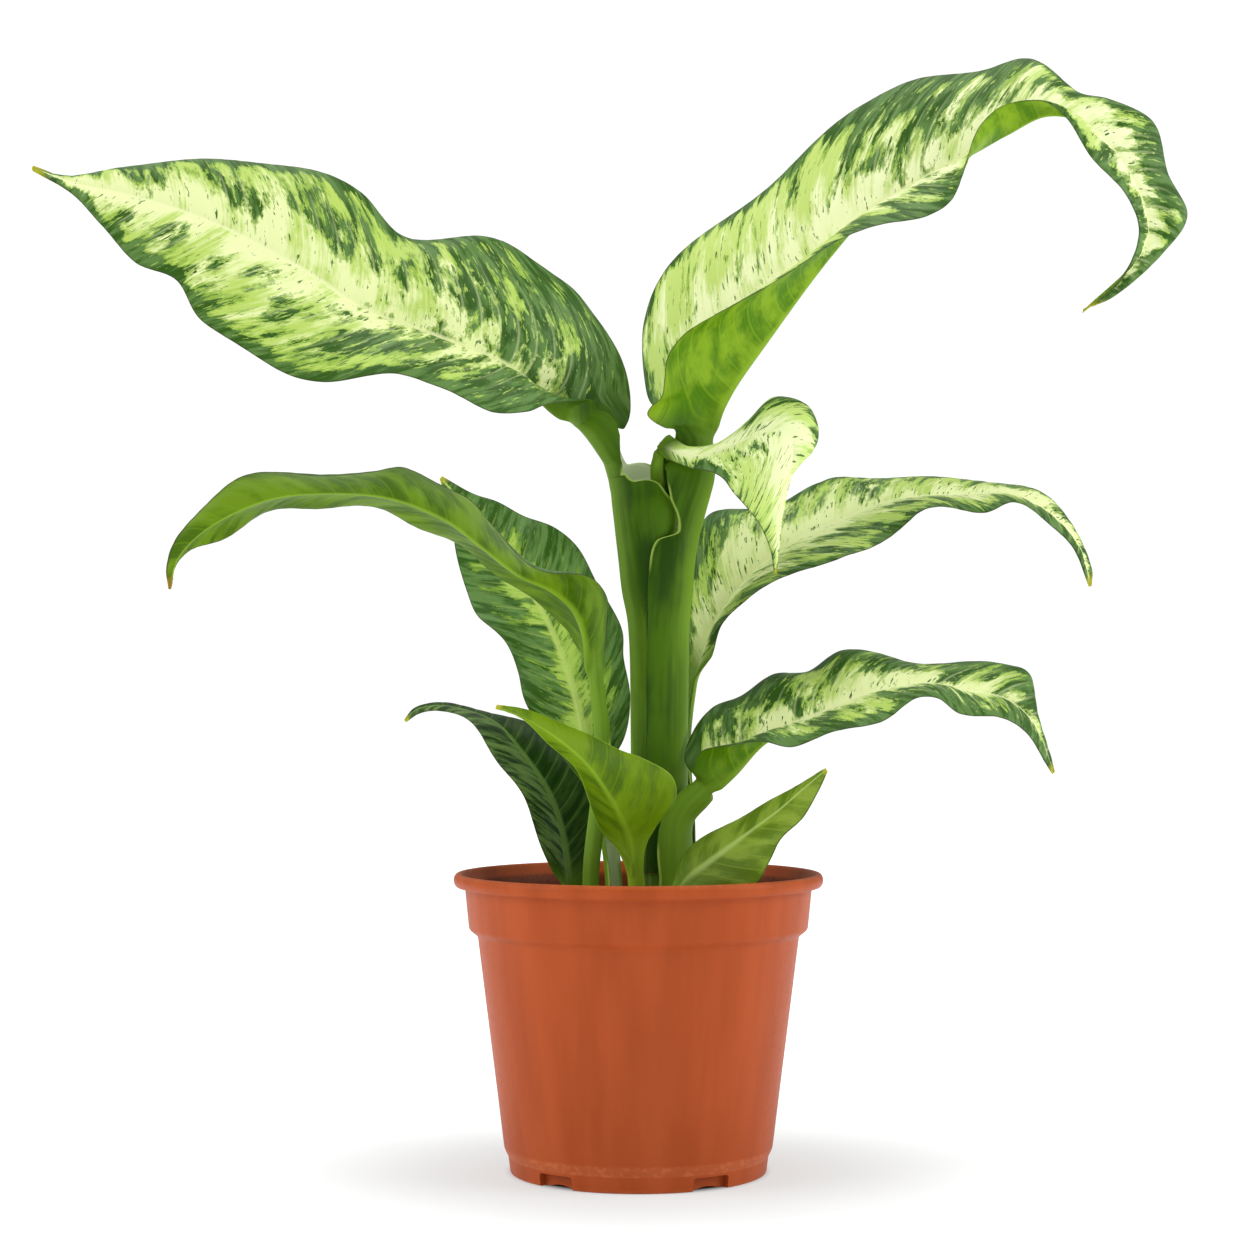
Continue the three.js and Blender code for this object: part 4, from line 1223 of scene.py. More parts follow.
LEAVES = (
    Leaf(
        name="leaf_upper_left",
        finish=UPPER_LEFT,
        slot="leaf_marbled",
        outward=180,
        core=0.7,
        stalk=(
            Section(by_cane(180, 97), SHEATH_RADIUS, 62.4, 88),
            Section(by_cane(180, 140), SHEATH_RADIUS, 62.2, 88),
            Section(seen(-3.4, 177, 3), SHEATH_RADIUS, 68, 88),
            Section(seen(-5.4, 188, 3), 9.6, 88, 85),
            Section(seen(-6.5, 198, 3), 10, 104, 84),
            Section(seen(-7.4, 205.6, 3), 10.4, 160, 86),
            Section(seen(-8, 211, 3), 11, 158, 96),
            Section(seen(-8.6, 216, 3), 10.6, 145, 112),
            Section(seen(-9, 220, 3), 10.2, 126, 124),
            Section(seen(-9.3, 221.4, 3), 10, 84, 129),
            Section(seen(-9.6, 223.2, 3), 10, 70, 130),
            Section(seen(-9.9, 224.7, 3), 9.9, 64, 125),
            Section(seen(-10.4, 226.4, 2.7), 9.7, 64, 78),
            Section(seen(-11.6, 230.2, 2), 8.6, 76, 72),
            Section(seen(-14.6, 234.8, 0), 8, 109, 84),
            Section(seen(-20.9, 242.4, -2), 9.6, 115, 80),
        ),
        midrib=(
            (-29.5, 248.6, -6), (-42, 261, -13), (-68.5, 272.2, -22), (-87, 279, -27), (-112, 294.5, -31),
            (-140, 309, -33), (-166, 317.5, -34), (-185, 321.8, -36), (-198.5, 326.7, -38),
        ),
        right=(
            (-9.6, 235.6, 4), (-6.6, 238.6, 5), (-4.3, 241.6, 6), (-2.7, 245.6, 7.5), (-2.5, 253.5, 9),
            (-5, 263, 10), (-15, 278, 10), (-22.5, 288.5, 8), (-38.8, 299.5, 4), (-51, 303.2, -1),
            (-76, 305, -6), (-92, 318.3, -9), (-109, 326.8, -14), (-140, 329, -20), (-168, 327.3, -27),
            (-188, 323.7, -34), (-198, 327.4, -38),
        ),
        left=(
            (-12.5, 250.4, -10), (-20, 250.3, -20), (-30, 249.2, -32), (-36.5, 246.8, -38),
            (-48.6, 246, -43), (-64, 255.2, -47), (-77, 259.2, -50), (-102, 256.2, -52), (-123, 264, -51),
            (-142.8, 276, -49), (-151, 290.5, -46), (-164.6, 295.3, -44), (-175.7, 307.7, -42),
            (-185, 318, -39), (-198.3, 325.6, -38),
        ),
        wave=Wave(height=1.6, count=5, phase=0.4),
        swing=-22,
        bulge=0.07,
    ),
    Leaf(
        name="leaf_upper_right",
        finish=UPPER_RIGHT,
        slot="leaf_marbled",
        outward=0,
        core=0.7,
        stalk=(
            Section(by_cane(0, 97), SHEATH_RADIUS, 89, 117),
            Section(by_cane(0, 140), SHEATH_RADIUS, 89, 117),
            Section(seen(16.8, 177, 3), 10, 86, 113),
            Section(seen(17.9, 190, 3), 11.5, 72, 107),
            Section(seen(18.5, 197, 3), 11.5, 70, 107),
            Section(seen(19.2, 202, 3), 11, 88, 103),
            Section(seen(19.9, 205.6, 3), 8.8, 104, 80),
            Section(seen(21.2, 210.4, 3), 8.8, 106, 92),
            Section(seen(22.3, 214.6, 3), 9.3, 106, 110),
            Section(seen(23.7, 219.6, 3), 10, 106, 120),
            Section(seen(24.9, 224.6, 3), 10.2, 104, 127),
            Section(seen(25.1, 230, 3), 9.4, 92, 134),
            Section(seen(24.4, 237, 2.6), 7.8, 84, 128),
        ),
        midrib=(
            (25.4, 244, 2.2), (29.2, 252.5, 2.6), (43.7, 273, 6), (63, 298.5, 10), (75, 311.5, 11),
            (96, 324.7, 9), (109.2, 331.5, 6), (120.6, 337.7, 3), (133, 343.8, 0), (142.8, 343, -2),
            (151, 337.5, -3), (160, 326.5, -4), (165.6, 313.9, -5), (166.6, 304, -6), (162.3, 295.4, -7),
            (145.4, 279.7, -8),
        ),
        right=(
            (14.5, 238.5, -5), (9.5, 241, -7), (5, 243.4, -9), (2.8, 245.8, -11), (4, 248.4, -12.5),
            (7.4, 251.5, -13.5), (8.4, 257, -14), (9.6, 264, -15), (14.5, 270.8, -16.5),
            (24.8, 277.8, -18), (49.2, 292.7, -17), (78.2, 307.7, -15), (94.2, 311.7, -16),
            (102, 316, -16), (106.5, 324, -14), (112.5, 341, -9), (120, 348.3, -7), (133, 349, -8),
            (139.5, 343.5, -9), (147.7, 330.2, -12), (159.7, 318.2, -14), (164, 306, -13),
            (157.8, 290.1, -10), (145.2, 278.9, -8),
        ),
        left=(
            (18.5, 241.5, 8), (11.5, 245, 12), (4.5, 249, 15.5), (2, 257, 18.5), (1.6, 276, 23),
            (9.8, 293.4, 26), (45.6, 323.7, 29), (73.7, 347.2, 28), (90.6, 356.6, 25), (113, 358.3, 20),
            (129, 361.6, 14), (144.7, 351.8, 9), (154.2, 350, 6), (168.5, 342, 4), (173, 324.5, 0),
            (179.6, 311, -3), (171.8, 298.6, -6), (154.2, 283.6, -8), (145.6, 280.5, -8),
        ),
        wave=Wave(height=1.2, count=5, phase=1.1),
        swing=18,
        bulge=0.07,
    ),
    Leaf(
        name="leaf_new",
        finish=NEW,
        slot="leaf_young",
        small=True,
        outward=150,
        core=1.4,
        stalk=(
            Section((2.6, 5.2, CANE_TOP + CLEARANCE), 4.2, 150, 150),
            Section((3.2, 5.2, 200), 4.4, 150, 150),
            Section((4.2, 5.2, 214), 4, 150, 150),
            Section((4.4, 4, 224), 3.4, 140, 146),
            Section((4.6, 0.5, 231), 3.4, 125, 148),
        ),
        midrib=(
            (7.6, 234.8, -4.6), (12, 233.6, -8.6), (19, 232.3, -12), (31, 235.6, -13.5),
            (41.7, 240, -14.5), (48.9, 240, -16), (50.3, 232.4, -18), (48.2, 222.7, -18),
            (46, 209.6, -17), (44.7, 194, -16),
        ),
        right=(
            (7, 232, -5), (11, 230.6, -8.5), (17.6, 228.2, -13.5), (27, 225.3, -20), (31.3, 220, -23),
            (36.2, 213.9, -24), (40.1, 209, -22), (43, 202, -19), (44.3, 193.6, -16),
        ),
        left=(
            (5.5, 236.5, -1.5), (8.5, 239.8, -3), (12.4, 237.6, -6.4), (17, 235.2, -10), (28, 237, -9.5),
            (38.1, 245.2, -4), (44.3, 251, -3), (55, 249, -6), (59, 241, -9), (57.4, 234.4, -12),
            (50.5, 228.9, -14), (47.2, 215, -15), (45.1, 193.6, -16),
        ),
        wave=Wave(height=0.5, count=3, phase=0.2),
        swing=-4,
        bulge=0.08,
    ),
    Leaf(
        name="leaf_middle_left",
        finish=MIDDLE_LEFT,
        slot="leaf_plain",
        outward=190,
        core=1.8,
        stalk=(
            Section(seen(-18, 78, -6), 4.2, 95, 95),
            Section(seen(-18, 98, -7), 4.3, 95, 95),
            Section(seen(-15.4, 122, -8), 4.6, 95, 95),
            Section(seen(-14.4, 140, -8), 4.6, 90, 90),
            Section(seen(-16, 158, -8), 4.4, 85, 85),
        ),
        midrib=(
            (-16.8, 172, -9), (-20.5, 182, -12), (-28, 188.6, -16), (-39.4, 194, -20),
            (-52.2, 203.8, -24), (-63, 211.6, -27), (-82, 218.7, -31), (-103.7, 220.1, -35),
            (-121.6, 217.8, -38), (-140.8, 208.5, -40), (-150.5, 198.5, -41), (-152.8, 188.8, -41),
        ),
        right=(
            (-18.8, 166, -4), (-22.5, 174.5, 0), (-30, 181.3, 2), (-39.4, 189, 1), (-59.7, 202.8, -5),
            (-78.2, 212.6, -11), (-89.7, 214.8, -15), (-103.7, 216, -19), (-121.6, 212.9, -25),
            (-136.3, 205, -31), (-146.4, 201, -36), (-151.6, 195, -39), (-152.4, 188.6, -41),
        ),
        left=(
            (-11.5, 166, -12), (-10.2, 176, -19), (-10.2, 185.8, -26), (-15.6, 191.7, -31),
            (-31.9, 195.6, -38), (-49.2, 209.6, -43), (-56.5, 219, -46), (-75.6, 227.9, -50),
            (-87, 225.8, -52), (-114.8, 227, -54), (-129.4, 224.7, -53), (-140.8, 216.8, -50),
            (-151, 205, -46), (-154, 195, -42), (-153.3, 188.6, -41),
        ),
        wave=Wave(height=1.2, count=5, phase=2),
        swing=-36,
        bulge=0.08,
    ),
    Leaf(
        name="leaf_middle_left_back",
        finish=MIDDLE_LEFT_BACK,
        slot="leaf_marbled",
        small=True,
        outward=145,
        core=1.6,
        stalk=(
            Section(seen(-9.5, 78, 10), 3.6, 90, 90),
            Section(seen(-10.5, 98, 12), 3.6, 90, 90),
            Section(seen(-13.5, 118, 14), 3.8, 90, 90),
        ),
        midrib=(
            (-16.5, 134, 16), (-21, 155, 20), (-28, 174.7, 25), (-36, 189, 29), (-45.6, 202, 33),
            (-55.4, 214.5, 37), (-64.5, 225, 41),
        ),
        right=(
            (-12.5, 129, 18), (-5, 139, 19), (-2.6, 153, 20), (-4.9, 167, 21), (-5.5, 176, 22),
            (-13, 189.7, 26), (-20.2, 203, 29), (-26.7, 208.3, 31), (-36.8, 212.2, 34), (-46, 217.4, 37),
            (-53.8, 219.8, 39), (-64.1, 225.6, 41),
        ),
        left=(
            (-18.5, 126, 12), (-27, 137, 15), (-36.5, 150.9, 19), (-39.4, 162, 22), (-43.4, 171.5, 25),
            (-52.5, 180, 29), (-56.5, 189, 32), (-59.7, 202.5, 36), (-61, 213, 39), (-64.9, 224.6, 41),
        ),
        wave=Wave(height=1.4, count=4, phase=0.9),
        swing=30,
        bulge=-0.05,
    ),
    Leaf(
        name="leaf_middle_right",
        finish=MIDDLE_RIGHT,
        slot="leaf_marbled",
        outward=37,
        core=1.2,
        stalk=(
            Section(by_cane(37, LOW_SHEATH_FOOT, LOW_SHEATH_RADIUS), LOW_SHEATH_RADIUS, 40, 40),
            Section(by_cane(37, 92, LOW_SHEATH_RADIUS), LOW_SHEATH_RADIUS, 40, 40),
            Section(by_cane(37, 112, LOW_SHEATH_RADIUS + 0.6), 9, 48, 48),
            Section((16.6, 14.4, 138), 3.8, 85, 85),
            Section(seen(18.6, 158, 17), 3.1, 85, 85),
        ),
        midrib=(
            (20.6, 167, 18.5), (25.4, 178, 20), (33.3, 190, 21), (43, 199, 23), (55.4, 206.4, 24),
            (66.8, 211.2, 25), (78.2, 216, 25), (91.3, 218.7, 24), (106, 219.4, 23), (119, 219.7, 22),
            (130.4, 216, 21), (138.6, 209.6, 20), (144.4, 201.5, 19), (147.4, 189.7, 18),
        ),
        left=(
            (16.6, 165, 20), (15.4, 180.5, 24), (16.5, 194, 29), (23.5, 212.7, 36), (46.9, 216.8, 42),
            (58.4, 222.3, 44), (66, 225.6, 44), (90.6, 224.6, 42), (113.1, 224, 38), (130.7, 220.3, 33),
            (141.5, 209.5, 27), (147.9, 195, 20), (147.9, 189.6, 18),
        ),
        right=(
            (22.4, 161.8, 14.5), (24.3, 167.5, 12), (27.2, 177.5, 8), (34.6, 184.3, 4), (52.2, 195, 0),
            (66.5, 198.5, -1), (75, 201, 0), (87, 210.6, 2), (93, 214, 3), (113.1, 214.5, 7),
            (122.3, 216.8, 10), (132.7, 210.9, 13), (141.2, 203.4, 16), (147, 189.4, 18),
        ),
        wave=Wave(height=1.2, count=5, phase=0.3),
        swing=36,
        bulge=0.07,
    ),
    Leaf(
        name="leaf_lower_right",
        finish=LOWER_RIGHT,
        slot="leaf_marbled",
        outward=-53,
        core=1.2,
        stalk=(
            Section(by_cane(-53, LOW_SHEATH_FOOT, LOW_SHEATH_RADIUS), LOW_SHEATH_RADIUS, 38, 38),
            Section(by_cane(-53, 95, LOW_SHEATH_RADIUS), LOW_SHEATH_RADIUS, 38, 38),
            Section(seen(15.5, 113, -8), 6.6, 70, 70),
            Section(seen(22.3, 121, -9), 4.6, 60, 95),
        ),
        midrib=(
            (31, 128.8, -9), (40, 138.3, -8), (49, 143.8, -6), (59, 147.7, -4), (70, 152.6, -2),
            (83, 156.5, 0), (96.2, 157.5, 2), (109.2, 155.2, 3), (120, 152.6, 3), (127.5, 146.5, 2),
            (131.6, 138.9, 1), (135.3, 128.8, 0),
        ),
        left=(
            (21.5, 124.2, -4), (17.5, 128.5, -4), (14.9, 133.5, -4), (17.6, 142.5, -0.5), (24, 149.5, 6),
            (33.6, 153.2, 13), (44, 161.7, 19), (55.4, 162.3, 21), (66, 167.5, 23), (78.2, 167.6, 24),
            (90, 165.3, 24), (118.3, 163.8, 19), (127.5, 161.5, 13), (130.4, 146, 6), (135.7, 129.3, 0),
        ),
        right=(
            (17, 124, -12.5), (17.6, 129.5, -15), (20.5, 135.5, -18), (31.9, 137.6, -22),
            (40.4, 139.5, -24), (50.2, 137.8, -25), (64.9, 141.5, -25), (78.9, 146.4, -23),
            (90.3, 152.6, -20), (97.5, 152, -19), (104, 148.2, -17), (117.4, 147.4, -13),
            (126, 141.8, -8), (134.8, 128.4, 0),
        ),
        wave=Wave(height=1.2, count=4, phase=2.4),
        swing=-12,
        bulge=0.07,
    ),
    Leaf(
        name="leaf_lower_left_back",
        finish=LOWER_LEFT_BACK,
        slot="leaf_plain",
        small=True,
        outward=160,
        core=1.2,
        stalk=(
            Section(seen(-22, 78, 14), 3, 85, 85),
            Section(seen(-22.5, 86, 15), 3, 85, 85),
        ),
        midrib=(
            (-23, 95, 16), (-25, 109, 18), (-29, 121.5, 20), (-38.5, 136, 24), (-46, 144.5, 27),
            (-54, 148.5, 29), (-65.2, 150.6, 31), (-72.4, 149.2, 32), (-76, 145.7, 32),
        ),
        right=(
            (-17.5, 92, 18.5), (-11.5, 106, 22.5), (-9.5, 118.5, 26), (-13, 129, 29.5), (-22.5, 138, 33),
            (-34, 144.2, 35), (-46.5, 147.6, 35.5), (-62.9, 151.6, 34), (-73, 149.8, 33),
            (-76.3, 146.2, 32),
        ),
        left=(
            (-26, 92.5, 13), (-31.3, 103.7, 10), (-36.8, 120, 10), (-45, 131, 13), (-52, 142.5, 17),
            (-57.5, 146.8, 21), (-66.2, 149.2, 27), (-71.7, 148, 30), (-75.6, 145.3, 32),
        ),
        wave=Wave(height=0.6, count=3, phase=0.5),
        swing=20,
        bulge=0.06,
    ),
    Leaf(
        name="leaf_front_left",
        finish=FRONT_LEFT,
        slot="leaf_plain",
        small=True,
        outward=-110,
        core=1.6,
        stalk=(
            Section(seen(-1, 78, -20), 2.8, 85, 85),
            Section(seen(-1.6, 94, -21), 2.8, 85, 85),
        ),
        midrib=(
            (-3.3, 106.5, -22.5), (-6.5, 115, -24.5), (-11.3, 123.2, -27), (-18, 132, -30),
            (-26.1, 139.2, -33), (-36, 145.6, -37), (-46.3, 150.3, -41),
        ),
        left=(
            (0, 103.5, -19.5), (6, 111.8, -17), (12, 120.5, -16), (11, 127.5, -16.5), (2.6, 133, -17.5),
            (-6.8, 136.6, -19), (-16.3, 141.2, -22), (-31.3, 147.7, -30), (-38.5, 149.8, -35),
            (-46, 151, -41),
        ),
        right=(
            (-5.5, 104.5, -22), (-11, 108.5, -22.5), (-14.2, 114, -24), (-17.3, 123.6, -27),
            (-21, 130.5, -30), (-31.6, 140.5, -35), (-40, 147.6, -39), (-46.6, 149.6, -41),
        ),
        wave=Wave(height=0.5, count=3, phase=0.2),
        swing=-16,
        bulge=-0.08,
    ),
    Leaf(
        name="leaf_front_right",
        finish=FRONT_RIGHT,
        slot="leaf_plain",
        small=True,
        outward=-60,
        core=1.4,
        stalk=(
            Section(seen(11, 78, -22), 2.6, 80, 80),
            Section(seen(12.3, 86.5, -23), 2.6, 80, 80),
        ),
        midrib=(
            (16.5, 93.5, -25), (24.1, 99.8, -27), (34.2, 107.3, -29), (45, 115.4, -30),
            (53.8, 123.2, -31), (61.3, 129.7, -32),
        ),
        right=(
            (11.6, 93, -20), (13.5, 100, -18), (18.9, 106.3, -17), (34.9, 115.4, -19), (47.9, 122.3, -23),
            (56.1, 127.3, -28), (61, 130.3, -32),
        ),
        left=(
            (19.5, 90, -27), (29, 89.5, -33), (38.5, 92.3, -37), (42.4, 99.8, -39), (46, 107.3, -39),
            (53.8, 114.1, -37), (58.5, 122.3, -34), (61.7, 129.2, -32),
        ),
        wave=Wave(height=0.5, count=2, phase=0.7),
        swing=-12,
        bulge=-0.09,
    ),
)


# ---------------------------------------------------------------------------- pot, soil and cane


@dataclass(frozen=True)
class PotPlastic:
    """Satin moulded plastic with flow marks, rubbing at the rim and the foot, a painted highlight on the
    ledge above the foot and painted shade inside the collar above the soil.
    """

    shell: Colour = srgb(175, 79, 36)
    deep: Colour = srgb(163, 71, 29)
    # Rubbing at the rim and the foot, and a painted highlight on the ledge above the foot.
    rubbed_and_highlight: Colour = srgb(205, 116, 70)
    # Painted shade inside the collar above the soil.
    inside_shade: Colour = srgb(78, 40, 24)
    rim_rubbing: float = 0.35
    foot_rubbing: float = 0.3
    ledge_highlight: float = 0.5
    rubbed_height: float = 1.4
    # How strong the painted shade inside the collar is: at least, near the soil and in specks.
    least_inside_shade: float = 0.55
    inside_shade_near_soil: float = 0.25
    inside_shade_specks: float = 0.15
    scuffs_per_mm: float = 0.5
    specks_per_mm: float = 0.8
    grains_per_mm: float = 1.6
    grain_height: float = 0.4

    # Bands of noise and of shares: where an S-curve starts and where it ends
    FLOW_BAND = (0.3, 0.7)
    SCUFF_BAND = (0.5, 0.62)
    SCUFF_SHARE = 0.6
    SPECK_BAND = (0.52, 0.6)

    def build(self, pot: "Pot") -> bpy.types.Material:
        """Makes the material for a pot.

        Args:
            pot: The pot, whose sizes say where its edges are.

        Returns:
            The material.
        """
        shade = Shading("pot_plastic")
        here = shade.object_place()
        place = shade.place(*here)
        flow = shade.smooth(shade.streaks(here, 0.09, 0.012, detail=3), *self.FLOW_BAND)
        colour = shade.mix(flow, self.deep, self.shell)
        scuffs = shade.smooth(shade.noise(place, self.scuffs_per_mm, detail=3), *self.SCUFF_BAND)
        # Rubbing at the edges and the ledge's painted highlight, scuffed.
        worn_and_lit = self._rubbing_and_ledge_highlight(shade, pot, here[2]) * ((1 - self.SCUFF_SHARE) + scuffs * self.SCUFF_SHARE)
        colour = shade.mix(worn_and_lit, colour, self.rubbed_and_highlight)
        # Painted shade inside the collar, stronger towards the soil and in specks.
        near_soil = shade.fade(here[2], pot.collar_bottom + 2, pot.height)
        specks = shade.smooth(shade.noise(place, self.specks_per_mm, detail=4), *self.SPECK_BAND)
        inside_shading = self.least_inside_shade + near_soil * self.inside_shade_near_soil + specks * self.inside_shade_specks
        colour = shade.mix(self._inside(shade, pot, *here) * inside_shading, colour, self.inside_shade)
        grain = shade.noise(place, self.grains_per_mm, detail=3, roughness=0.6)
        waves = shade.streaks(here, 0.05, 0.03, detail=1)
        return shade.finish(
            Base_Color=colour, Roughness=0.4 + grain * 0.1 + scuffs * 0.05, Specular_IOR_Level=0.12,
            Normal=shade.bump(grain * self.grain_height + waves, 0.12, 0.35),
        )

    def _rubbing_and_ledge_highlight(self, shade: Shading, pot: "Pot", z: Value) -> Value:
        """Returns how much rubbing the pot has at its rim and its foot, with a painted highlight on the
        ledge above the foot.

        Args:
            shade: The tree of the material.
            pot: The pot.
            z: The height on the pot.

        Returns:
            The share of rubbing and of painted highlight.
        """
        rim = shade.smooth(z, pot.height - self.rubbed_height, pot.height - 0.2) * self.rim_rubbing
        foot = shade.fade(z, 0.1, self.rubbed_height) * self.foot_rubbing
        # A painted highlight along the ledge above the foot.
        ledge = shade.smooth(z, pot.foot_top - 0.4, pot.foot_top)
        ledge = ledge * shade.fade(z, pot.body_bottom, pot.body_bottom + 1.2)
        return rim + foot + ledge * self.ledge_highlight

    def _inside(self, shade: Shading, pot: "Pot", x: Value, y: Value, z: Value) -> Value:
        """Returns 1 on the inside of the collar and 0 on the rest of the pot.

        Args:
            shade: The tree of the material.
            pot: The pot.
            x: The place on the pot, to the right.
            y: The place on the pot, to the back.
            z: The height on the pot.

        Returns:
            The mask.
        """
        radius = shade.math("SQRT", x * x + y * y)
        collar_height = pot.height - pot.lip_depth - pot.collar_bottom
        slope = (pot.collar_top_radius - pot.collar_bottom_radius) / collar_height
        inner = pot.collar_bottom_radius - pot.wall
        beside = radius - (z - pot.collar_bottom) * slope
        above_step = shade.smooth(z, pot.collar_bottom + 0.5, pot.collar_bottom + 1)
        return shade.fade(beside, inner + 0.3, inner + 0.9) * above_step


@dataclass
class Pot:
    """A thin nursery pot with a rounded lip, a collar, a tapering body and a notched foot ring."""

    rim_radius: float = 60
    height: float = 96.4
    lip_depth: float = 4.3
    collar_top_radius: float = 56.4
    collar_bottom_radius: float = 55
    collar_bottom: float = 78.4
    body_top_radius: float = 52.2
    body_top: float = 76.2
    body_bottom_radius: float = 43.5
    body_bottom: float = 7.8
    foot_top_radius: float = 42.2
    foot_top: float = 5.3
    foot_radius: float = 41.5
    foot_width: float = 2.4
    wall: float = 1.2
    pad_radius: float = 10
    floor_underside: float = 2.2
    floor_top: float = 3.6
    openings: int = 5
    first_opening: float = -39
    notch_angle: float = 18
    notch_height: float = 4.3
    notch_rounding: float = 1.1
    notch_cut: float = 8
    drain_radius: float = 3
    drain_ring: float = 25
    drain_cut: tuple[float, float] = (-1, 7)
    drain_sides: int = 32
    sides: int = 180
    sharp_from: float = 38
    plastic: PotPlastic = field(default_factory=PotPlastic)

    def build(self) -> bpy.types.Object:
        """Turns the pot, cuts its openings and dresses it."""
        points, faces = turned(self._profile(), self.sides)
        made = new_mesh("pot_piece", points, faces)
        cutters = {"Notch cutter": self._notch_cutter(), "Drain cutter": self._drain_cutter()}
        tree = GeometryTree("pot_openings", {
            "Openings": self.openings,
            "First opening": math.radians(self.first_opening - 90),
            **cutters,
            "Plastic": self.plastic.build(self),
        })
        marks = tree.node("GeometryNodePoints", inputs={"Count": tree.given("Openings")}).outputs[0]
        number = tree.value(tree.node("GeometryNodeInputIndex"))
        angle = tree.given("First opening") + number * (2 * math.pi) / tree.given("Openings")
        exact = {"operation": "DIFFERENCE", "solver": "EXACT"}
        cut = tree.node("GeometryNodeMeshBoolean", exact, {0: tree.mesh})
        for label in cutters:
            cutter = tree.node("GeometryNodeObjectInfo", inputs={"Object": tree.given(label)})
            ring = tree.node("GeometryNodeInstanceOnPoints", inputs={
                "Points": marks, "Instance": cutter.outputs["Geometry"], "Rotation": tree.place(0, 0, angle),
            })
            real = tree.node("GeometryNodeRealizeInstances", inputs={0: ring.outputs[0]})
            tree.tree.links.new(real.outputs[0], cut.inputs[1])
        tree.close(made, tree.dressed(cut.outputs[0], tree.given("Plastic")))
        for cutter in cutters.values():
            bpy.data.objects.remove(cutter)
        made.data.set_sharp_from_angle(angle=math.radians(self.sharp_from))
        return made

    def _profile(self) -> np.ndarray:
        """Returns the wall as radius and height, from the middle of the underside to the middle inside."""
        lip_bottom = self.height - self.lip_depth
        inner_foot = self.foot_radius - self.foot_width
        return rounded([
            (0, 0, 0),
            (self.pad_radius, 0, 0.5),
            (self.pad_radius + 1, self.floor_underside, 0.5),
            (inner_foot - 0.8, self.floor_underside, 0.4),
            (inner_foot, 0, 0.4),
            (self.foot_radius, 0, 0.5),
            (self.foot_top_radius, self.foot_top, 0.5),
            (self.body_bottom_radius, self.body_bottom, 1.0),
            (self.body_top_radius, self.body_top, 0.7),
            (self.collar_bottom_radius, self.collar_bottom, 0.9),
            (self.collar_top_radius, lip_bottom, 0.9),
            (self.rim_radius - 0.9, lip_bottom, 0.4),
            (self.rim_radius, lip_bottom + 1.2, 0.9),
            (self.rim_radius, self.height - 1.2, 1.0),
            (self.rim_radius - 0.9, self.height, 0.8),
            (self.rim_radius - 2.2, self.height, 0.8),
            (self.collar_top_radius - self.wall, lip_bottom - 0.6, 1.2),
            (self.collar_bottom_radius - self.wall, self.collar_bottom + 0.5, 0.8),
            (self.body_top_radius - self.wall, self.body_top + 0.5, 0.8),
            (self.body_bottom_radius - self.wall, self.body_bottom + 0.5, 0.8),
            (self.foot_top_radius - 1.6, self.foot_top + 0.5, 0.3),
            (self.foot_top_radius - 2, self.floor_top, 0.8),
            (0, self.floor_top, 0),
        ])

    def _notch_cutter(self) -> bpy.types.Object:
        """Makes the block with rounded upper edges that cuts one notch of the foot ring, on +X."""
        half_width = self.foot_top_radius * math.sin(math.radians(self.notch_angle / 2))
        foot = (-half_width, -self.notch_height, 0)
        corners = [foot, foot, (half_width, -self.notch_height, 0),
                   (half_width, self.notch_height, self.notch_rounding),
                   (-half_width, self.notch_height, self.notch_rounding), foot]
        outline = rounded(corners)[1:-1]
        count = len(outline)
        middle = self.foot_top_radius + self.wall / 2
        reach = self.notch_cut / 2
        ends = [np.column_stack([np.full(count, x), outline]) for x in (middle - reach, middle + reach)]
        faces = [tuple(range(count - 1, -1, -1)), tuple(range(count, 2 * count))]
        faces += [(j, (j + 1) % count, count + (j + 1) % count, count + j) for j in range(count)]
        return new_mesh("notch_cutter", np.vstack(ends), faces, smooth=False)

    def _drain_cutter(self) -> bpy.types.Object:
        """Makes the upright rod that cuts one drain hole, on +X."""
        low, high = self.drain_cut
        profile = np.array([(0, low), (self.drain_radius, low), (self.drain_radius, high), (0, high)])
        points, faces = turned(profile, self.drain_sides)
        return new_mesh("drain_cutter", points + np.array([self.drain_ring, 0, 0]), faces)


@dataclass(frozen=True)
class Peat:
    """Dark, moist, crumbly potting soil, whose loose crumbs are drier than the rest."""

    wet: Colour = srgb(38, 26, 18)
    dry: Colour = srgb(84, 60, 42)
    fibre: Colour = srgb(122, 92, 62)
    clods_per_mm: float = 0.22
    grains_per_mm: float = 1.4
    fibres_per_mm: float = 0.9
    ground_dryness: float = 0.7
    crumb_dryness: float = 1.0
    fibre_show: float = 0.7

    DRY_BAND = (0.42, 0.62)
    FIBRE_BAND = (0.66, 0.7)

    def build(self, name: str, crumb: bool = False) -> bpy.types.Material:
        """Makes the material of the soil, or of the loose crumbs on it.

        Args:
            name: The material's name.
            crumb: Whether it is for the loose crumbs.

        Returns:
            The material.
        """
        shade = Shading(name)
        here = shade.place(*shade.object_place())
        clod = shade.noise(here, self.clods_per_mm, detail=5, roughness=0.65)
        grain = shade.noise(here, self.grains_per_mm, detail=4, roughness=0.7)
        dryness = shade.smooth(clod * 0.5 + grain * 0.5, *self.DRY_BAND)
        dryness = dryness * (self.crumb_dryness if crumb else self.ground_dryness)
        colour = shade.mix(dryness, self.wet, self.dry)
        fibres = shade.smooth(shade.noise(here, self.fibres_per_mm, detail=1), *self.FIBRE_BAND)
        colour = shade.mix(fibres * self.fibre_show, colour, self.fibre)
        return shade.finish(
            Base_Color=colour, Roughness=0.92 - dryness * 0.04, Specular_IOR_Level=0.2,
            Normal=shade.bump(grain, 0.6, 0.8),
        )


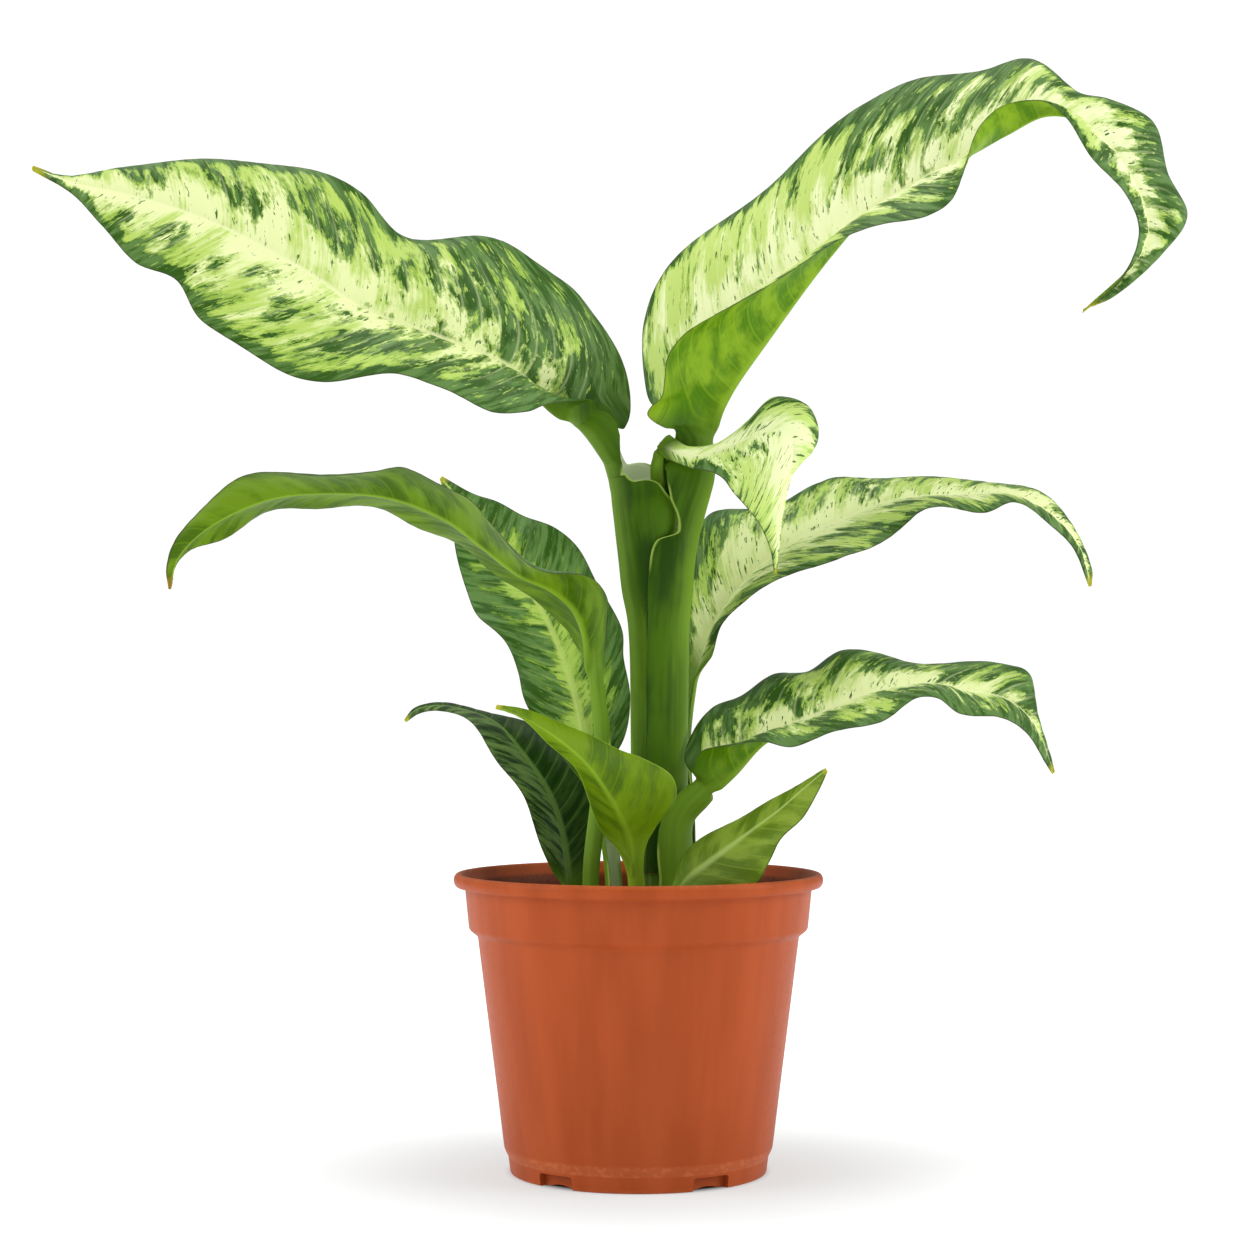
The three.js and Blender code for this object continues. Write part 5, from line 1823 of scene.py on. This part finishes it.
@dataclass
class Soil:
    """The pot's filling, with a crumbly mound on top."""

    pot: Pot
    edge: float = 83
    mound: float = 2.5
    ripple: float = 0.5
    clearance: float = CLEARANCE
    roughness: float = 0.9
    clods_per_metre: float = 160
    crumbs_per_square_metre: float = 330_000
    crumb_size: float = 0.75
    smallest_crumb: Point = (0.3, 0.3, 0.22)
    largest_crumb: Point = (1.0, 1.0, 0.8)
    seed: int = 11
    sides: int = 132
    rings: int = 45
    peat: Peat = field(default_factory=Peat)

    # Cloudy noise strays from its middle by about a third, so this times it strays by about 1
    NOISE_GAIN = 3

    def build(self) -> bpy.types.Object:
        """Makes the filling, roughens its top and strews crumbs on it."""
        points, faces = turned(self._profile(), self.sides)
        top = points[:, 2] > self.edge + 0.01
        points[:, 2] += np.where(top, self.ripple * self._lumps(points[:, 0], points[:, 1]), 0)
        made = new_mesh("soil_piece", points, faces)
        tree = GeometryTree("soil_crumbs", {
            "Top height": self.edge * MM,
            "Roughness": self.roughness * MM,
            "Crumbs": self.crumbs_per_square_metre,
            "Crumb size": self.crumb_size * MM,
            "Seed": self.seed,
            "Soil material": self.peat.build("potting_soil"),
            "Crumb material": self.peat.build("soil_crumb", crumb=True),
        })
        here = tree.node("GeometryNodeInputPosition").outputs[0]
        height = tree.parts(here)[2]
        on_top = tree.math("GREATER_THAN", height, tree.given("Top height") + 0.05 * MM)
        rough = tree.noise(here, self.clods_per_metre, detail=5, roughness=0.65) - 0.5
        lift = tree.place(0, 0, rough * tree.given("Roughness") * self.NOISE_GAIN)
        ground = tree.node("GeometryNodeSetPosition",
                           inputs={0: tree.mesh, "Selection": on_top, "Offset": lift})
        crumbs = self._crumbs(tree, ground.outputs[0], on_top)
        tree.close(
            made,
            tree.dressed(ground.outputs[0], tree.given("Soil material")),
            tree.dressed(crumbs, tree.given("Crumb material")),
        )
        return made

    def _lumps(self, x: np.ndarray, y: np.ndarray) -> np.ndarray:
        """Returns the height of crossed waves over the top, between -2 and 2, by places in millimetres."""
        return np.sin(0.31 * x + 1.3) * np.cos(0.27 * y) + np.sin(0.53 * y - 0.4 * x)

    def _crumbs(self, tree: GeometryTree, ground: bpy.types.NodeSocket,
                on_top: Value) -> bpy.types.NodeSocket:
        """Strews angular crumbs of many sizes over the top of the ground.

        Args:
            tree: The tree that they are made in.
            ground: The filling that they lie on.
            on_top: 1 on the filling's top and 0 elsewhere.

        Returns:
            The crumbs, as instances.
        """
        seed = tree.given("Seed")
        spots = tree.node("GeometryNodeDistributePointsOnFaces", inputs={
            0: ground, "Selection": on_top, "Density": tree.given("Crumbs"), "Seed": seed,
        })
        ball = tree.node("GeometryNodeMeshIcoSphere", inputs={"Radius": 1.0, "Subdivisions": 1}).outputs[0]
        ball_place = tree.node("GeometryNodeInputPosition").outputs[0]
        dent = tree.place(tree.noise(ball_place, 2.3) - 0.5, tree.noise(ball_place, 3.1) - 0.5, 0)
        chip = tree.node("GeometryNodeSetPosition", inputs={0: ball, "Offset": dent})
        turn = self._random(tree, (0.0, 0.0, 0.0), (math.tau, math.tau, math.tau), seed + 1)
        share = self._random(tree, self.smallest_crumb, self.largest_crumb, seed + 2)
        size = tree.node("ShaderNodeVectorMath", {"operation": "SCALE"},
                         {0: share, "Scale": tree.given("Crumb size")})
        return tree.node("GeometryNodeInstanceOnPoints", inputs={
            "Points": spots.outputs[0], "Instance": chip.outputs[0],
            "Rotation": turn, "Scale": size.outputs[0],
        }).outputs[0]

    def _random(self, tree: GeometryTree, low: Point, high: Point, seed: Value) -> bpy.types.NodeSocket:
        """Returns a random vector for each crumb."""
        made = tree.node("FunctionNodeRandomValue", {"data_type": "FLOAT_VECTOR"},
                         {0: low, 1: high, "Seed": seed})
        return made.outputs[0]

    def _profile(self) -> np.ndarray:
        """Returns the filling as radius and height, from the middle of its underside to its top."""
        pot = self.pot
        gap = self.clearance + pot.wall
        edge = pot.collar_bottom_radius - gap + 0.2
        sides = [
            (0, pot.floor_top + self.clearance),
            (pot.foot_top_radius - 2.6, pot.floor_top + self.clearance),
            (pot.foot_top_radius - 2.2, pot.foot_top + 0.6),
            (pot.body_bottom_radius - gap, pot.body_bottom + 0.8),
            (pot.body_top_radius - gap, pot.body_top + 0.8),
            (pot.collar_bottom_radius - gap, pot.collar_bottom + 0.8),
            (edge, self.edge),
        ]
        shares = np.linspace(1, 0, self.rings + 1)[1:]
        top = [(share * edge, self.edge + self.mound * (1 - share**2)) for share in shares]
        return np.array(sides + top)


@dataclass
class Cane:
    """The stem inside the sheaths, with a ring at each old leaf scar."""

    radius: float = 7.7
    bottom: float = 60
    top: float = CANE_TOP
    first_scar: float = 80
    scar_every: float = 17
    scar_height: float = 0.35
    bare_top: float = 4
    sides: int = 64
    skin: Colour = srgb(84, 122, 28)
    skin_light: Colour = srgb(120, 156, 52)
    scar: Colour = srgb(142, 132, 70)
    scar_show: float = 0.7

    SKIN_BAND = (0.35, 0.65)
    SCAR_BAND = (0.2, 1.1)

    def build(self) -> bpy.types.Object:
        """Turns the cane and dresses it."""
        neck = self.radius - self.scar_height
        corners = [(0, self.bottom, 0), (self.radius - 1, self.bottom, 0.5),
                   (self.radius, self.bottom + 2, 0.8)]
        for z in np.arange(self.first_scar, self.top - self.bare_top, self.scar_every):
            corners += [(neck, z - 1.5, 0.6), (self.radius, z, 0.4), (neck, z + 1, 0.4)]
        corners += [(self.radius - 2, self.top - 1, 0.8), (0, self.top, 0)]
        points, faces = turned(rounded(corners), self.sides)
        made = new_mesh("cane_piece", points + np.array([CANE_X, CANE_Y, 0]), faces)
        made.data.materials.append(self._material())
        return made

    def _material(self) -> bpy.types.Material:
        """Makes the cane's skin, with brownish scars."""
        shade = Shading("cane_skin")
        here = shade.object_place()
        fibre = shade.streaks(here, 0.6, 0.05, detail=3)
        colour = shade.mix(shade.smooth(fibre, *self.SKIN_BAND), self.skin, self.skin_light)
        near = shade.math("PINGPONG", here[2] - self.first_scar, self.scar_every / 2)
        colour = shade.mix(shade.fade(near, *self.SCAR_BAND) * self.scar_show, colour, self.scar)
        return shade.finish(Base_Color=colour, Roughness=0.42 + fibre * 0.1, Specular_IOR_Level=0.24,
                            Normal=shade.bump(fibre, 0.2, 0.4))


# ---------------------------------------------------------------------------- studio


@dataclass
class Studio:
    """A white table in soft light, and the camera that looks at it."""

    floor_radius: float = 4.0
    floor_sides: int = 96
    floor_shade: Colour = (0.34, 0.36, 0.36)
    floor_light: Colour = (0.36, 0.38, 0.38)
    clouds_per_mm: float = 0.01
    # The floor's glow is painted light: none under the pot, weaker near its foot and full far from it.
    glow_start: float = 37
    glow_near_end: float = 44
    glow_far_end: float = 200
    floor_glow_near: float = 0.52
    floor_glow_far: float = 1.0
    sensor_width: float = 36.0
    sky: float = 0.45
    sky_seen: float = 1.05
    light_target: Point = (0, 0, 0.18)
    lights: Sequence[tuple[str, Point, float, float]] = (
        ("left_softbox", (-1.36, -0.4, 0.8), 1.0, 11.5),
        ("right_softbox", (1.36, -0.34, 0.8), 1.0, 12.5),
        ("top_softbox", (0.0, 0.15, 1.9), 1.4, 14.0),
    )

    def build(self) -> None:
        """Makes the camera, the floor, the sky and the lights."""
        self._camera()
        self._floor()
        self._sky()
        for name, place, size, power in self.lights:
            self._softbox(name, place, size, power)
        bpy.context.scene.view_settings.view_transform = "Standard"

    def _camera(self) -> None:
        """Makes the camera at the picture's eye, tilted so that the horizon falls on its row."""
        data = bpy.data.cameras.new("camera")
        data.sensor_width = self.sensor_width
        data.lens = self.sensor_width * PICTURE_FOCAL_LENGTH / PICTURE_SIDE
        camera = bpy.data.objects.new("camera", data)
        bpy.context.scene.collection.objects.link(camera)
        tilt = math.atan((PICTURE_HORIZON_ROW - PICTURE_SIDE / 2) / PICTURE_FOCAL_LENGTH)
        camera.location = Vector(EYE * MM)
        camera.rotation_euler = (math.pi / 2 + tilt, 0, 0)
        bpy.context.scene.camera = camera

    def _floor(self) -> None:
        """Makes the round white floor, which glows with painted light more and more away from the pot's
        foot, so that painted shade lies round the foot and under the pot.
        """
        angles = np.linspace(0, math.tau, self.floor_sides, endpoint=False)
        circle = np.column_stack([np.cos(angles), np.sin(angles), np.zeros(self.floor_sides)])
        floor = new_mesh("floor", circle * self.floor_radius / MM, [tuple(range(self.floor_sides))])
        shade = Shading("floor_white")
        x, y, z = shade.object_place()
        tone = shade.noise(shade.place(x, y, z), self.clouds_per_mm)
        colour = shade.mix(tone, self.floor_shade, self.floor_light)
        away = shade.math("SQRT", x * x + y * y)
        near, far = (self.floor_glow_near,) * 3, (self.floor_glow_far,) * 3
        # Painted light that grows away from the foot, leaving painted shade near it and under the pot.
        glow = shade.mix(shade.smooth(away, self.glow_near_end, self.glow_far_end), near, far)
        glow = shade.mix(shade.smooth(away, self.glow_start, self.glow_near_end), (0.0, 0.0, 0.0), glow)
        material = shade.finish(Base_Color=colour, Roughness=0.9, Specular_IOR_Level=0.1,
                                Emission_Color=glow, Emission_Strength=1.0)
        floor.data.materials.append(material)

    def _sky(self) -> None:
        """Makes a sky that looks white and lights the plant more softly than it looks."""
        world = bpy.data.worlds.new("studio_sky")
        world.use_nodes = True
        bpy.context.scene.world = world
        tree = NodeTree(world.node_tree)
        looked_at = tree.value(tree.node("ShaderNodeLightPath"), "Is Camera Ray")
        strength = looked_at * (self.sky_seen - self.sky) + self.sky
        shine = tree.node("ShaderNodeBackground", inputs={"Color": (1.0, 1.0, 1.0), "Strength": strength})
        tree.node("ShaderNodeOutputWorld", inputs={"Surface": shine.outputs[0]})

    def _softbox(self, name: str, place: Point, size: float, power: float) -> None:
        """Makes one square light that faces the middle of the plant.

        Args:
            name: The light's name.
            place: Where it stands, in metres.
            size: Its side, in metres.
            power: Its power, in watts.
        """
        data = bpy.data.lights.new(name, "AREA")
        data.size = size
        data.energy = power
        light = bpy.data.objects.new(name, data)
        bpy.context.scene.collection.objects.link(light)
        light.location = place
        away = Vector(self.light_target) - light.location
        light.rotation_euler = away.to_track_quat("-Z", "Y").to_euler()


# ---------------------------------------------------------------------------- the whole plant


def main() -> None:
    """Makes the studio and every piece of the plant, and writes down how large it is."""
    logging.basicConfig(level=logging.INFO, format="%(name)s: %(message)s")
    Studio().build()
    pot = Pot()
    settle(pot.build(), ["pot"])
    settle(Soil(pot).build(), ["soil"])
    settle(Cane().build(), ["cane"])
    for leaf in LEAVES:
        settle(leaf.build(), [leaf.name])


if __name__ == "__main__":
    main()
